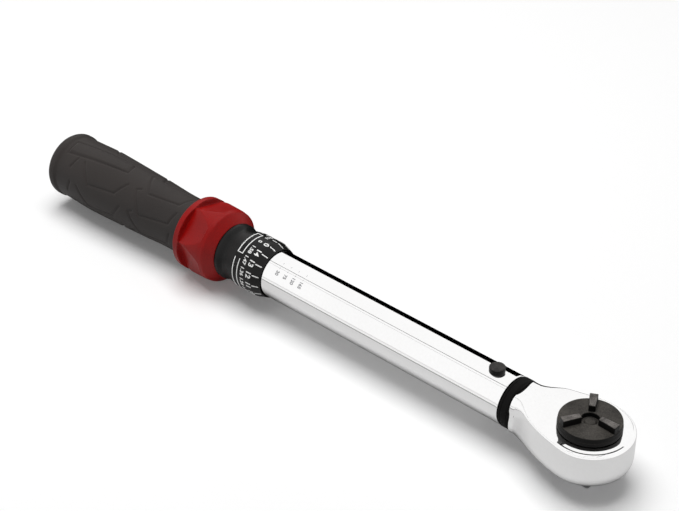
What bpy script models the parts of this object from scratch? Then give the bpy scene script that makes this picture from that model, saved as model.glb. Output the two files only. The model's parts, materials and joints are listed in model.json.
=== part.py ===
"""Click-type torque wrench with a reversible ratchet head, a screw-thimble scale and a sliding lock ring.

Lengths below are millimetres, turned into metres by MM. X runs along the tube with the head at +X, and
Z runs up the drive's axis. Every shape is drawn about the tube's axis, which lies AXIS_HEIGHT above the
end face of the square drive; the centre of that end face is the origin.
"""

import math

import bmesh
import bpy
from mathutils import Matrix, Vector

MM = 0.001
AXIS_HEIGHT = 17.0
GAP = 0.3
LARGE_ROUND = 36
MIDDLE_ROUND = 28
SMALL_ROUND = 20

# Tube
TUBE_R = 10.0
TUBE_BORE_R = 8.0
TUBE_FRONT = -33.8
TUBE_REAR = -219.0

# Pivot of the head inside the tube
PIVOT_X = -41.8
PIVOT_R = 3.1
PIVOT_TOP = 11.7
PIVOT_BOTTOM = -11.0

# Ratchet head
HEAD_R = 16.7
HEAD_TOP = 6.9
HEAD_BOTTOM = -8.0
HEAD_TOP_ROUND = 0.9
HEAD_BOTTOM_ROUND = 3.5
NECK_X = -29.0
NECK_HALF_WIDTH = 8.8
NECK_END = -29.1
SHOULDER_X = -2.0
SHOULDER_EASE = 0.9
STEM_R = 6.3
STEM_REAR = -38.0
ARM_HALF_WIDTH = 4.2
ARM_HALF_HEIGHT = 4.5
ARM_REAR = -78.0

# Rubber seal between head and tube
SEAL_FRONT = -29.4
SEAL_REAR = -33.2
SEAL_R = 10.1
SEAL_BORE_R = 6.6

# Drive gear with a standard 3/8 inch square
SQUARE = 9.53
SQUARE_CHAMFER = 0.7
GEAR_TEETH = 36
GEAR_TIP_R = 9.0
GEAR_ROOT_R = 8.2
GEAR_TOP = 0.3
GEAR_BOTTOM = -6.3
GEAR_BORE_R = 9.4
GEAR_CEILING = 2.0
JOURNAL_R = 7.2
PILOT_R = 3.5
PILOT_TOP = 3.0
DETENT_BALL_R = 1.5
DETENT_HEIGHT = 4.6
DETENT_PROUD = 0.75
DETENT_HOLE_END = 2.8
DETENT_SPRING_R = 1.1
DETENT_SPRING_TURNS = 3
FINE_WIRE = 0.5
FINE_COIL_POINTS = 8

# Cover plate under the head
COVER_R = 12.6
COVER_REAR = -19.0
COVER_HALF_WIDTH = 8.0
COVER_TOP = -6.7
COVER_SCREW_R = 10.6
COVER_SCREW_ANGLE = 100.0
COVER_SCREW_TOP = -2.5
COVER_SCREW_SEAT = -7.45
COVER_SCREW_SHANK_R = 0.75
COVER_SCREW_HEAD_R = 1.45
COVER_SCREW_FACETS = 12

# Reversing pawl
PAWL_PIVOT_X = -14.6
PAWL_PIN_R = 1.3
PAWL_ROCK = 5.7
PAWL_NOSE_ANGLE = 145.0
PAWL_NOSE_R = 8.6
PAWL_INNER_R = 9.9
PAWL_BACK_R = 2.7
PAWL_TOP = 1.6
PAWL_BOTTOM = -6.1
PAWL_POCKET_REAR = -18.0
PAWL_POCKET_HALF_WIDTH = 7.6
PAWL_POCKET_FRONT = -3.0
PAWL_FACE_X = -9.9
PAWL_TOOTH_HALF = 0.15
PAWL_STEP_REAR = -11.4
PAWL_STEP_HALF_WIDTH = 5.0
PAWL_PIN_TOP = 3.7
PAWL_PLUNGER_DROP = 2.2
PAWL_PLUNGER_R = 1.5
PAWL_PLUNGER_LENGTH = 4.0
PAWL_SPRING_REAR = -27.7
PAWL_SPRING_R = 1.15
PAWL_SPRING_TURNS = 4

# Reversing dial on top of the head
DIAL_R = 11.8
DIAL_TOP = 10.5
DIAL_BOTTOM = HEAD_TOP + GAP
DIAL_SPIGOT_R = 6.0
DIAL_SPIGOT_END = 0.65
DIAL_RECESS_R = 3.4
DIAL_RECESS_FLOOR = 8.6
DIAL_RIVET_HOLE_R = 1.2
DIAL_GROOVE_TOP = 1.9
DIAL_GROOVE_BOTTOM = 0.95
DIAL_GROOVE_R = 5.2
RETAINER_TOP = 1.7
RETAINER_BOTTOM = 1.15
RETAINER_R = 7.2
RIBS = 3
RIB_TOP = 13.1
RIB_WIDTH = 3.0
RIB_INNER_R = 3.9
RIB_OUTER_R = 11.2
DIAL_PIN_R = 0.9
DIAL_PIN_ORBIT = 9.8
DIAL_PIN_TOP = 9.1
DIAL_PIN_BOTTOM = 0.75
DIAL_PIN_SLOT_EASE = 8.5
DIAL_SWING = 20.0

# Click mechanism inside the tube
BLOCK_LENGTH = 7.0
BLOCK_HALF_WIDTH = 3.2
BLOCK_FRONT = ARM_REAR - GAP
PLUNGER_R = 7.7
PLUNGER_FRONT = BLOCK_FRONT - BLOCK_LENGTH - GAP
PLUNGER_REAR = -105.0
SPIGOT_R = 4.6
SPRING_WIRE = 2.4
SPRING_MEAN_R = 6.2
SPRING_TURNS = 9
SPRING_COIL_POINTS = 9
PLUNGER_SPIGOT_LENGTH = 7.0
SEAT_SPIGOT_LENGTH = 5.0
SEAT_FRONT = -165.3
SEAT_REAR = -170.0
THRUST_BALL_R = 2.0

# Torque adjusting screw and its nut
SCREW_R = 3.0
SCREW_FRONT = SEAT_REAR - 2 * THRUST_BALL_R - 2 * GAP
SCREW_REAR = -260.0
NUT_FRONT = -206.0
NUT_REAR = -217.0
NUT_PIN_TOP = -5.3
NUT_PIN_BOTTOM = -9.8
CROSS_PIN_R = 1.2
CROSS_PIN_HOLE_R = 1.5

# Thimble sleeve, which carries the fine scale and the handle
SLEEVE_BORE_R = 10.3
SLEEVE_R = 11.2
SLEEVE_FRONT = -154.1
SLEEVE_REAR = -254.0
THIMBLE_LIP_R = 10.6
THIMBLE_R = 12.0
THIMBLE_NECK_R = 11.1
THIMBLE_RIM_R = 12.1
THIMBLE_RIM_REAR = -178.6
THIMBLE_PROFILE = (
    (SLEEVE_FRONT, THIMBLE_LIP_R),
    (SLEEVE_FRONT - 4.4, THIMBLE_R),
    (-168.0, THIMBLE_R),
    (-171.0, THIMBLE_NECK_R + 0.25),
    (-173.5, THIMBLE_NECK_R),
    (-175.5, THIMBLE_NECK_R + 0.3),
    (-177.2, THIMBLE_RIM_R),
    (THIMBLE_RIM_REAR, THIMBLE_RIM_R),
)

# Lock ring with six thumb pockets, and its three balls
RING_FRONT = -179.1
RING_REAR = -199.6
RING_R = 16.1
RING_BORE_R = 11.5
RING_SPRING_BORE_R = 13.2
RING_WEB_FRONT = -190.8
RING_WEB_REAR = -192.8
RING_LIP_REAR = -181.2
RING_LIP_R = 12.8
RING_PROFILE = (
    (RING_FRONT, RING_BORE_R + 0.3),
    (RING_FRONT - 1.0, 12.9),
    (RING_FRONT - 3.4, 15.4),
    (RING_FRONT - 4.0, 15.9),
    (RING_WEB_REAR, RING_R),
    (RING_REAR + 0.8, 15.85),
    (RING_REAR, 15.1),
)
RING_SPRING_R = 12.2
RING_SPRING_WIRE = 0.8
RING_SPRING_TURNS = 2
POCKETS = 6
POCKET_ANGLE = 46.0
POCKET_REAR = -197.0
POCKET_FRONT = -184.4
POCKET_DEEP_R = 14.0
POCKET_SHALLOW_R = 15.35
POCKET_CUT_TOP = 22.0
POCKET_CUT_HALF_WIDTH = 10.0
LOCK_BALLS = 3
LOCK_BALL_X = -188.9
LOCK_BALL_R = 1.2
LOCK_BALL_ORBIT = 11.55
RAMP_SLOPE = 0.24
RAMP_REAR = -190.4
RAMP_FRONT = -184.9

# Grip and what closes the handle
GRIP_FRONT = -197.6
GRIP_REAR = -282.0
GRIP_BORE_R = 11.5
GRIP_PROFILE = (
    (GRIP_FRONT, 12.2),
    (-214.0, 12.4),
    (-225.0, 13.1),
    (-236.5, 13.55),
    (-248.0, 14.0),
    (-259.0, 14.35),
    (-267.0, 14.05),
    (-276.4, 13.7),
    (-277.6, 14.35),
    (-279.6, 14.35),
    (-281.2, 13.6),
    (GRIP_REAR, 12.2),
)
PLUG_FRONT = -246.0
PLUG_REAR = -252.0
PLUG_R = 10.0
PLUG_PIN_BOTTOM = 4.9
PLUG_PIN_TOP = 11.1
COLLAR_R = 6.0
COLLAR_LENGTH = 4.0
WASHER_R = 7.0
WASHER_THICKNESS = 1.2
HANDLE_NUT_R = 5.8
HANDLE_NUT_LENGTH = 4.2
CAP_FRONT = -274.0
CAP_REAR = -282.6
CAP_R = GRIP_BORE_R - GAP

PARTS = "torque_wrench"
CUTTERS = "torque_wrench_cutters"


def clear_scene():
    for old in list(bpy.data.objects):
        bpy.data.objects.remove(old, do_unlink=True)


def collection(name):
    made = bpy.data.collections.new(name)
    bpy.context.scene.collection.children.link(made)
    return made


def place(name, data, home, turned_to_x=False):
    """A new object at the tube's axis; a shape turned about its own Z can be laid along X."""
    made = bpy.data.objects.new(name, data)
    made.location = (0.0, 0.0, AXIS_HEIGHT * MM)
    if turned_to_x:
        made.rotation_euler = (0.0, math.pi / 2, 0.0)
    home.objects.link(made)
    return made


def mesh_of(name, bm):
    bmesh.ops.recalc_face_normals(bm, faces=bm.faces)
    data = bpy.data.meshes.new(name)
    bm.to_mesh(data)
    bm.free()
    return data


def turned(name, profile, home, steps=SMALL_ROUND, along="X", solid=True, phase=0.0):
    """A turned piece. The profile's (place, radius) points run from the high end down its outer side.

    A solid piece closes on the axis at both ends; otherwise the profile is a closed section, a ring.
    """
    points = list(profile)
    if solid:
        points = [(points[0][0], 0.0)] + points + [(points[-1][0], 0.0)]
    bm = bmesh.new()
    turn = Matrix.Rotation(phase, 3, "Z")
    verts = [bm.verts.new(turn @ Vector((r * MM, 0.0, x * MM))) for x, r in points]
    for one, two in zip(verts, verts[1:]):
        bm.edges.new((one, two))
    if not solid:
        bm.edges.new((verts[-1], verts[0]))
    data = bpy.data.meshes.new(name)
    bm.to_mesh(data)
    bm.free()
    made = place(name, data, home, along == "X")
    screw = made.modifiers.new("Turn", "SCREW")
    screw.steps = steps
    screw.render_steps = steps
    screw.use_merge_vertices = True
    screw.merge_threshold = 0.00001
    return made


def prism(name, outline, low, high, home, top_round=0.0, bottom_round=0.0):
    """A flat outline of (x, y) points, drawn up from low to high, with its two rims rounded if asked."""
    bm = bmesh.new()
    base = bm.faces.new([bm.verts.new((x * MM, y * MM, low * MM)) for x, y in outline])
    raised = bmesh.ops.extrude_face_region(bm, geom=[base])["geom"]
    upper = [item for item in raised if isinstance(item, bmesh.types.BMVert)]
    bmesh.ops.translate(bm, verts=upper, vec=(0.0, 0.0, (high - low) * MM))
    for level, size in ((high, top_round), (low, bottom_round)):
        if size:
            rim = [e for e in bm.edges if all(abs(v.co.z - level * MM) < 1e-7 for v in e.verts)]
            bmesh.ops.bevel(bm, geom=rim, offset=size * MM, segments=3, profile=0.5, affect="EDGES")
    return place(name, mesh_of(name, bm), home)


def block(name, low, high, home):
    bm = bmesh.new()
    bmesh.ops.create_cube(bm, size=1.0)
    size = [(b - a) * MM for a, b in zip(low, high)]
    middle = [(a + b) / 2 * MM for a, b in zip(low, high)]
    bmesh.ops.scale(bm, vec=size, verts=bm.verts)
    bmesh.ops.translate(bm, vec=middle, verts=bm.verts)
    return place(name, mesh_of(name, bm), home)


def rod(name, start, end, radius, home, sides=16):
    """A plain round bar between two points."""
    one = Vector(start) * MM
    run = Vector(end) * MM - one
    bm = bmesh.new()
    bmesh.ops.create_cone(
        bm, cap_ends=True, segments=sides, radius1=radius * MM, radius2=radius * MM, depth=run.length
    )
    aim = run.to_track_quat("Z", "Y").to_matrix().to_4x4()
    bmesh.ops.transform(bm, matrix=Matrix.Translation(one + run / 2) @ aim, verts=bm.verts)
    return place(name, mesh_of(name, bm), home)


def ball(name, centre, radius, home):
    bm = bmesh.new()
    at = Matrix.Translation(Vector(centre) * MM)
    bmesh.ops.create_icosphere(bm, subdivisions=2, radius=radius * MM, matrix=at)
    return place(name, mesh_of(name, bm), home)


def coil(name, start, end, mean_r, wire, turns, points_a_turn, home):
    """A round-wire spring as one tube on a helix whose axis runs from start to end."""
    one = Vector(start)
    run = Vector(end) - one
    aim = run.to_track_quat("Z", "Y")
    travel = run.length - wire
    count = int(turns * points_a_turn) + 1
    data = bpy.data.curves.new(name, "CURVE")
    data.dimensions = "3D"
    data.bevel_depth = wire / 2 * MM
    data.bevel_resolution = 1
    data.use_fill_caps = True
    spline = data.splines.new("POLY")
    spline.points.add(count - 1)
    for number, point in enumerate(spline.points):
        share = number / (count - 1)
        angle = 2 * math.pi * turns * share
        height = wire / 2 + travel * share
        local = Vector((mean_r * math.cos(angle), mean_r * math.sin(angle), height))
        point.co = (*((one + aim @ local) * MM), 1.0)
    print(name, "least gap between turns, mm:", round(travel / turns - wire, 2))
    return place(name, data, home)


def boolean(target, tool, operation):
    step = target.modifiers.new(tool.name, "BOOLEAN")
    step.operation = operation
    step.object = tool
    step.solver = "EXACT"
    tool.hide_render = True
    tool.display_type = "WIRE"


def cut(target, *tools):
    for tool in tools:
        boolean(target, tool, "DIFFERENCE")


def join(target, *tools):
    for tool in tools:
        boolean(target, tool, "UNION")


def finish(piece, colour, roughness, metallic=0.0):
    """The piece's own material, and smooth shading across its rounds."""
    material = bpy.data.materials.new(piece.name)
    material.use_nodes = True
    shader = material.node_tree.nodes["Principled BSDF"]
    shader.inputs["Base Color"].default_value = (*colour, 1.0)
    shader.inputs["Roughness"].default_value = roughness
    shader.inputs["Metallic"].default_value = metallic
    piece.data.materials.append(material)
    if piece.type == "MESH":
        piece.data.shade_smooth()
        piece.data.set_sharp_from_angle(angle=math.radians(35))


def polar(radius, degrees):
    angle = math.radians(degrees)
    return radius * math.cos(angle), radius * math.sin(angle)


def about_axis(x, radius, degrees):
    """A point round the tube's axis. Degrees count from straight up towards -Y."""
    angle = math.radians(degrees)
    return x, -radius * math.sin(angle), radius * math.cos(angle)


def arc(radius, start, end, count):
    return [polar(radius, start + (end - start) * i / (count - 1)) for i in range(count)]


CHROME = ((0.80, 0.80, 0.81), 0.12, 1.0)
STEEL = ((0.55, 0.55, 0.56), 0.35, 1.0)
BLACK_STEEL = ((0.03, 0.03, 0.03), 0.40, 0.6)
RUBBER = ((0.02, 0.02, 0.02), 0.70, 0.0)
GRIP_RUBBER = ((0.045, 0.042, 0.042), 0.60, 0.0)
RED = ((0.42, 0.02, 0.02), 0.35, 0.0)
BRASS = ((0.65, 0.48, 0.20), 0.35, 1.0)


def make_tube(parts, cutters):
    tube = turned(
        "tube",
        [
            (TUBE_FRONT, TUBE_R - 0.5),
            (TUBE_FRONT - 0.5, TUBE_R),
            (TUBE_REAR, TUBE_R),
            (TUBE_REAR, TUBE_BORE_R),
            (TUBE_FRONT, TUBE_BORE_R),
        ],
        parts,
        steps=LARGE_ROUND,
        solid=False,
    )
    pivot_hole = rod(
        "tube_pivot_hole", (PIVOT_X, 0, -TUBE_R - 2), (PIVOT_X, 0, TUBE_R + 2), PIVOT_R + GAP, cutters
    )
    nut_pin_x = (NUT_FRONT + NUT_REAR) / 2
    pin_hole = rod(
        "tube_nut_pin_hole",
        (nut_pin_x, 0, NUT_PIN_TOP + 1),
        (nut_pin_x, 0, -TUBE_R - 2),
        CROSS_PIN_HOLE_R,
        cutters,
    )
    cut(tube, pivot_hole, pin_hole)
    finish(tube, *CHROME)

    pin = turned(
        "pivot_pin",
        [
            (PIVOT_TOP, PIVOT_R - 0.5),
            (PIVOT_TOP - 0.5, PIVOT_R),
            (PIVOT_BOTTOM + 0.5, PIVOT_R),
            (PIVOT_BOTTOM, PIVOT_R - 0.5),
        ],
        parts,
        along="Z",
    )
    pin.location.x = PIVOT_X * MM
    finish(pin, *BLACK_STEEL)

    nut = turned(
        "adjusting_nut",
        [
            (NUT_FRONT, PLUNGER_R),
            (NUT_REAR, PLUNGER_R),
            (NUT_REAR, SCREW_R + GAP),
            (NUT_FRONT, SCREW_R + GAP),
        ],
        parts,
        solid=False,
    )
    hole_top = NUT_PIN_TOP + GAP
    hole = rod("nut_pin_hole", (nut_pin_x, 0, hole_top), (nut_pin_x, 0, -TUBE_R), CROSS_PIN_HOLE_R, cutters)
    cut(nut, hole)
    finish(nut, *BRASS)
    nut_pin = rod("nut_pin", (nut_pin_x, 0, NUT_PIN_TOP), (nut_pin_x, 0, NUT_PIN_BOTTOM), CROSS_PIN_R, parts)
    finish(nut_pin, *STEEL)


def head_half_width(x):
    """Half the head's width: a circle ahead of the shoulder, eased into the narrow neck behind it."""
    if x > SHOULDER_X:
        return math.sqrt(max(HEAD_R**2 - x**2, 0.0))
    share = max((x - NECK_X) / (SHOULDER_X - NECK_X), 0.0) ** SHOULDER_EASE
    swell = share * share * (3 - 2 * share)
    return NECK_HALF_WIDTH + (head_half_width(SHOULDER_X + 1e-6) - NECK_HALF_WIDTH) * swell


def head_outline():
    front = math.degrees(math.acos(SHOULDER_X / HEAD_R))
    nose = arc(HEAD_R, -front + 8, front - 8, 21)
    steps = 9
    rows = [SHOULDER_X + (NECK_END - SHOULDER_X) * i / steps for i in range(steps + 1)]
    left = [(x, head_half_width(x)) for x in rows]
    right = [(x, -y) for x, y in reversed(left)]
    return nose + left + right


def make_head(parts, cutters):
    head = prism(
        "ratchet_head", head_outline(), HEAD_BOTTOM, HEAD_TOP, parts, HEAD_TOP_ROUND, HEAD_BOTTOM_ROUND
    )
    stem = rod("head_stem", (NECK_END + 3, 0, 0), (STEM_REAR, 0, 0), STEM_R, cutters, MIDDLE_ROUND)
    arm = block(
        "head_arm",
        (ARM_REAR, -ARM_HALF_WIDTH, -ARM_HALF_HEIGHT),
        (STEM_REAR + 3, ARM_HALF_WIDTH, ARM_HALF_HEIGHT),
        cutters,
    )
    join(head, stem, arm)
    gear_bore = rod(
        "head_gear_bore", (0, 0, HEAD_BOTTOM - 1), (0, 0, GEAR_CEILING), GEAR_BORE_R, cutters, LARGE_ROUND
    )
    pocket = block(
        "head_pawl_pocket",
        (PAWL_POCKET_REAR, -PAWL_POCKET_HALF_WIDTH, HEAD_BOTTOM - 1),
        (PAWL_POCKET_FRONT, PAWL_POCKET_HALF_WIDTH, GEAR_CEILING),
        cutters,
    )
    recess = prism("head_cover_recess", cover_outline(GAP), HEAD_BOTTOM - 1, COVER_TOP + GAP, cutters)
    spigot_hole = rod(
        "head_dial_hole",
        (0, 0, GEAR_CEILING - 1),
        (0, 0, HEAD_TOP + 1),
        DIAL_SPIGOT_R + GAP,
        cutters,
        MIDDLE_ROUND,
    )
    slot_reach = DIAL_SWING + DIAL_PIN_SLOT_EASE
    slot = arc(DIAL_PIN_ORBIT + DIAL_PIN_R + GAP, 180 - slot_reach, 180 + slot_reach, 9)
    slot += arc(DIAL_PIN_ORBIT - DIAL_PIN_R - GAP, 180 + slot_reach, 180 - slot_reach, 9)
    pin_slot = prism("head_dial_pin_slot", slot, GEAR_CEILING - 1, HEAD_TOP + 1, cutters)
    pivot = rod(
        "head_pivot_hole", (PIVOT_X, 0, -TUBE_BORE_R), (PIVOT_X, 0, TUBE_BORE_R), PIVOT_R + GAP, cutters
    )
    pawl_pin_hole = rod(
        "head_pawl_pin_hole",
        (PAWL_PIVOT_X, 0, 0),
        (PAWL_PIVOT_X, 0, PAWL_PIN_TOP + GAP),
        PAWL_PIN_R + GAP,
        cutters,
    )
    spring_hole = rod(
        "head_pawl_spring_hole",
        (PAWL_POCKET_REAR + 2, 0, -PAWL_PLUNGER_DROP),
        (PAWL_SPRING_REAR - GAP, 0, -PAWL_PLUNGER_DROP),
        PAWL_PLUNGER_R + 0.4,
        cutters,
    )
    cut(head, gear_bore, pocket, recess, spigot_hole, pin_slot, pivot, pawl_pin_hole, spring_hole)
    for number, side in ((1, 1), (2, -1)):
        x, y = polar(COVER_SCREW_R, side * COVER_SCREW_ANGLE)
        hole = rod(
            f"head_cover_screw_hole_{number}",
            (x, y, COVER_TOP - 1),
            (x, y, COVER_SCREW_TOP + 0.5),
            COVER_SCREW_SHANK_R + GAP,
            cutters,
            COVER_SCREW_FACETS,
        )
        cut(head, hole)
    finish(head, *CHROME)

    seal = turned(
        "head_seal",
        [
            (SEAL_FRONT, SEAL_R - 0.8),
            (SEAL_FRONT - 0.8, SEAL_R),
            (SEAL_REAR + 0.5, SEAL_R),
            (SEAL_REAR, SEAL_R - 0.5),
            (SEAL_REAR, SEAL_BORE_R),
            (SEAL_FRONT, SEAL_BORE_R),
        ],
        parts,
        steps=MIDDLE_ROUND,
        solid=False,
    )
    finish(seal, *RUBBER)


def cover_outline(grow=0.0):
    """The cover plate's outline: a disc under the gear with a square tongue under the pawl."""
    half = COVER_HALF_WIDTH + grow
    reach = COVER_R + grow
    meet = 180 - math.degrees(math.asin(half / reach))
    return arc(reach, -meet, meet, 25) + [(COVER_REAR - grow, half), (COVER_REAR - grow, -half)]


def make_cover(parts, cutters):
    cover = prism("head_cover", cover_outline(), HEAD_BOTTOM, COVER_TOP, parts)
    bore = rod(
        "cover_bore", (0, 0, HEAD_BOTTOM - 1), (0, 0, COVER_TOP + 1), JOURNAL_R + GAP, cutters, MIDDLE_ROUND
    )
    cut(cover, bore)
    for number, side in ((1, 1), (2, -1)):
        x, y = polar(COVER_SCREW_R, side * COVER_SCREW_ANGLE)
        sink = rod(
            f"cover_screw_sink_{number}",
            (x, y, HEAD_BOTTOM - 1),
            (x, y, COVER_SCREW_SEAT + 0.25),
            COVER_SCREW_HEAD_R + GAP,
            cutters,
        )
        through = rod(
            f"cover_screw_hole_{number}",
            (x, y, HEAD_BOTTOM - 1),
            (x, y, COVER_TOP + 1),
            COVER_SCREW_SHANK_R + GAP,
            cutters,
            COVER_SCREW_FACETS,
        )
        cut(cover, sink, through)
        screw = turned(
            f"cover_screw_{number}",
            [
                (COVER_SCREW_TOP, COVER_SCREW_SHANK_R - 0.25),
                (COVER_SCREW_TOP - 0.4, COVER_SCREW_SHANK_R),
                (COVER_SCREW_SEAT, COVER_SCREW_SHANK_R),
                (COVER_SCREW_SEAT, COVER_SCREW_HEAD_R),
                (HEAD_BOTTOM, COVER_SCREW_HEAD_R),
            ],
            parts,
            steps=COVER_SCREW_FACETS,
            along="Z",
        )
        screw.location.x = x * MM
        screw.location.y = y * MM
        finish(screw, *STEEL)
    finish(cover, *STEEL)


def make_drive(parts, cutters):
    """The ratchet gear, its journal and the square drive in one forging, and the ball that holds a socket."""
    teeth = []
    for number in range(GEAR_TEETH):
        pitch = 360 / GEAR_TEETH
        teeth.append(polar(GEAR_TIP_R, (number - 0.1) * pitch))
        teeth.append(polar(GEAR_TIP_R, (number + 0.1) * pitch))
        teeth.append(polar(GEAR_ROOT_R, (number + 0.5) * pitch))
    gear = prism("drive_gear", teeth, GEAR_BOTTOM, GEAR_TOP, parts)
    journal = rod(
        "gear_journal", (0, 0, GEAR_BOTTOM + 0.5), (0, 0, HEAD_BOTTOM), JOURNAL_R, cutters, MIDDLE_ROUND
    )
    pilot = rod("gear_pilot", (0, 0, GEAR_TOP - 0.5), (0, 0, PILOT_TOP), PILOT_R, cutters, SMALL_ROUND)
    half = SQUARE / 2
    low = half - SQUARE_CHAMFER
    corner = [(half, low), (low, half)]
    outline = []
    for sx, sy, order in ((1, 1, 1), (-1, 1, -1), (-1, -1, 1), (1, -1, -1)):
        outline += [(sx * x, sy * y) for x, y in corner[::order]]
    square = prism("gear_square", outline, -AXIS_HEIGHT, HEAD_BOTTOM + 0.5, cutters, bottom_round=0.5)
    join(gear, journal, pilot, square)
    height = DETENT_HEIGHT - AXIS_HEIGHT
    ball_hole = rod(
        "gear_ball_hole", (0, DETENT_HOLE_END, height), (0, -half - 2, height), DETENT_BALL_R + 0.25, cutters
    )
    cut(gear, ball_hole)
    finish(gear, *STEEL)

    centre = half + DETENT_PROUD - DETENT_BALL_R
    finish(ball("drive_ball", (0, -centre, height), DETENT_BALL_R, parts), *CHROME)
    spring = coil(
        "drive_ball_spring",
        (0, DETENT_HOLE_END - GAP, height),
        (0, -centre + DETENT_BALL_R + GAP, height),
        DETENT_SPRING_R,
        FINE_WIRE,
        DETENT_SPRING_TURNS,
        FINE_COIL_POINTS,
        parts,
    )
    finish(spring, *STEEL)


def rocked(point, degrees):
    """A point turned about the pawl's pivot."""
    angle = math.radians(degrees)
    dx = point[0] - PAWL_PIVOT_X
    dy = point[1]
    return (
        PAWL_PIVOT_X + dx * math.cos(angle) - dy * math.sin(angle),
        dx * math.sin(angle) + dy * math.cos(angle),
    )


def make_pawl(parts, cutters):
    """The two-ended pawl, drawn level and then rocked so that its +Y nose sits between two gear teeth."""
    nose = rocked(polar(PAWL_NOSE_R, PAWL_NOSE_ANGLE), PAWL_ROCK)
    inner = rocked(polar(PAWL_INNER_R, PAWL_NOSE_ANGLE + 3), PAWL_ROCK)
    outer = rocked(polar(PAWL_INNER_R, PAWL_NOSE_ANGLE - 4), PAWL_ROCK)
    half = [
        (PAWL_FACE_X, 0.0),
        inner,
        (nose[0] - 0.1, nose[1] - PAWL_TOOTH_HALF),
        (nose[0] - 0.1, nose[1] + PAWL_TOOTH_HALF),
        outer,
        (outer[0] - 2.4, outer[1] - 0.6),
        (PAWL_PIVOT_X + 1.0, PAWL_BACK_R + 0.8),
    ]
    back = [
        (PAWL_PIVOT_X + PAWL_BACK_R * math.cos(a), PAWL_BACK_R * math.sin(a))
        for a in (math.radians(d) for d in range(100, 181, 20))
    ]
    upper = half + back
    lower = [(x, -y) for x, y in reversed(upper) if y > 1e-9]
    level = list(reversed(upper + lower))
    outline = [rocked(point, -PAWL_ROCK) for point in level]
    pawl = prism("pawl", outline, PAWL_BOTTOM, PAWL_TOP, parts)
    hole = rod(
        "pawl_hole",
        (PAWL_PIVOT_X, 0, HEAD_BOTTOM),
        (PAWL_PIVOT_X, 0, PAWL_PIN_TOP),
        PAWL_PIN_R + GAP,
        cutters,
    )
    step = block(
        "pawl_pin_step",
        (PAWL_STEP_REAR, -PAWL_STEP_HALF_WIDTH, GEAR_TOP + 0.1),
        (PAWL_POCKET_FRONT, PAWL_STEP_HALF_WIDTH, PAWL_PIN_TOP),
        cutters,
    )
    cut(pawl, hole, step)
    finish(pawl, *STEEL)
    pin = rod(
        "pawl_pin", (PAWL_PIVOT_X, 0, COVER_TOP + GAP), (PAWL_PIVOT_X, 0, PAWL_PIN_TOP), PAWL_PIN_R, parts
    )
    finish(pin, *STEEL)

    front = PAWL_PIVOT_X - PAWL_BACK_R - GAP
    plunger = turned(
        "pawl_plunger",
        [
            (front, PAWL_PLUNGER_R - 1.0),
            (front - 0.6, PAWL_PLUNGER_R - 0.3),
            (front - 1.2, PAWL_PLUNGER_R),
            (front - PAWL_PLUNGER_LENGTH, PAWL_PLUNGER_R),
        ],
        parts,
        steps=16,
    )
    plunger.location.z = (AXIS_HEIGHT - PAWL_PLUNGER_DROP) * MM
    finish(plunger, *STEEL)
    spring = coil(
        "pawl_spring",
        (PAWL_SPRING_REAR, 0, -PAWL_PLUNGER_DROP),
        (front - PAWL_PLUNGER_LENGTH - GAP, 0, -PAWL_PLUNGER_DROP),
        PAWL_SPRING_R,
        FINE_WIRE,
        PAWL_SPRING_TURNS,
        FINE_COIL_POINTS,
        parts,
    )
    finish(spring, *STEEL)


def make_dial(parts, cutters):
    dial = turned(
        "reverse_dial",
        [
            (DIAL_TOP, DIAL_RECESS_R),
            (DIAL_TOP, DIAL_R - 0.5),
            (DIAL_TOP - 0.5, DIAL_R),
            (DIAL_BOTTOM + 0.3, DIAL_R),
            (DIAL_BOTTOM, DIAL_R - 0.3),
            (DIAL_BOTTOM, DIAL_SPIGOT_R),
            (DIAL_GROOVE_TOP, DIAL_SPIGOT_R),
            (DIAL_GROOVE_TOP, DIAL_GROOVE_R),
            (DIAL_GROOVE_BOTTOM, DIAL_GROOVE_R),
            (DIAL_GROOVE_BOTTOM, DIAL_SPIGOT_R - 0.3),
            (DIAL_SPIGOT_END, DIAL_SPIGOT_R - 0.3),
            (DIAL_SPIGOT_END, PILOT_R + GAP),
            (PILOT_TOP + GAP, PILOT_R + GAP),
            (PILOT_TOP + GAP, DIAL_RIVET_HOLE_R),
            (DIAL_RECESS_FLOOR, DIAL_RIVET_HOLE_R),
            (DIAL_RECESS_FLOOR, DIAL_RECESS_R),
        ],
        parts,
        steps=MIDDLE_ROUND,
        along="Z",
        solid=False,
    )
    for number in range(RIBS):
        rib = block(
            f"dial_rib_{number + 1}",
            (RIB_INNER_R, -RIB_WIDTH / 2, DIAL_TOP - 0.6),
            (RIB_OUTER_R, RIB_WIDTH / 2, RIB_TOP),
            cutters,
        )
        rib.rotation_euler = (0.0, 0.0, math.radians(360 / RIBS * number))
        join(dial, rib)
    x, y = polar(DIAL_PIN_ORBIT, 180 + DIAL_SWING)
    pin_hole = rod(
        "dial_pin_hole", (x, y, DIAL_BOTTOM - 1), (x, y, DIAL_PIN_TOP + GAP), DIAL_PIN_R + 0.25, cutters, 12
    )
    cut(dial, pin_hole)
    finish(dial, *BLACK_STEEL)
    finish(rod("dial_pin", (x, y, DIAL_PIN_BOTTOM), (x, y, DIAL_PIN_TOP), DIAL_PIN_R, parts, 12), *STEEL)
    ring = turned(
        "dial_retaining_ring",
        [
            (RETAINER_TOP, DIAL_GROOVE_R + GAP),
            (RETAINER_TOP, RETAINER_R),
            (RETAINER_BOTTOM, RETAINER_R),
            (RETAINER_BOTTOM, DIAL_GROOVE_R + GAP),
        ],
        parts,
        steps=MIDDLE_ROUND,
        along="Z",
        solid=False,
    )
    finish(ring, *STEEL)


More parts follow.
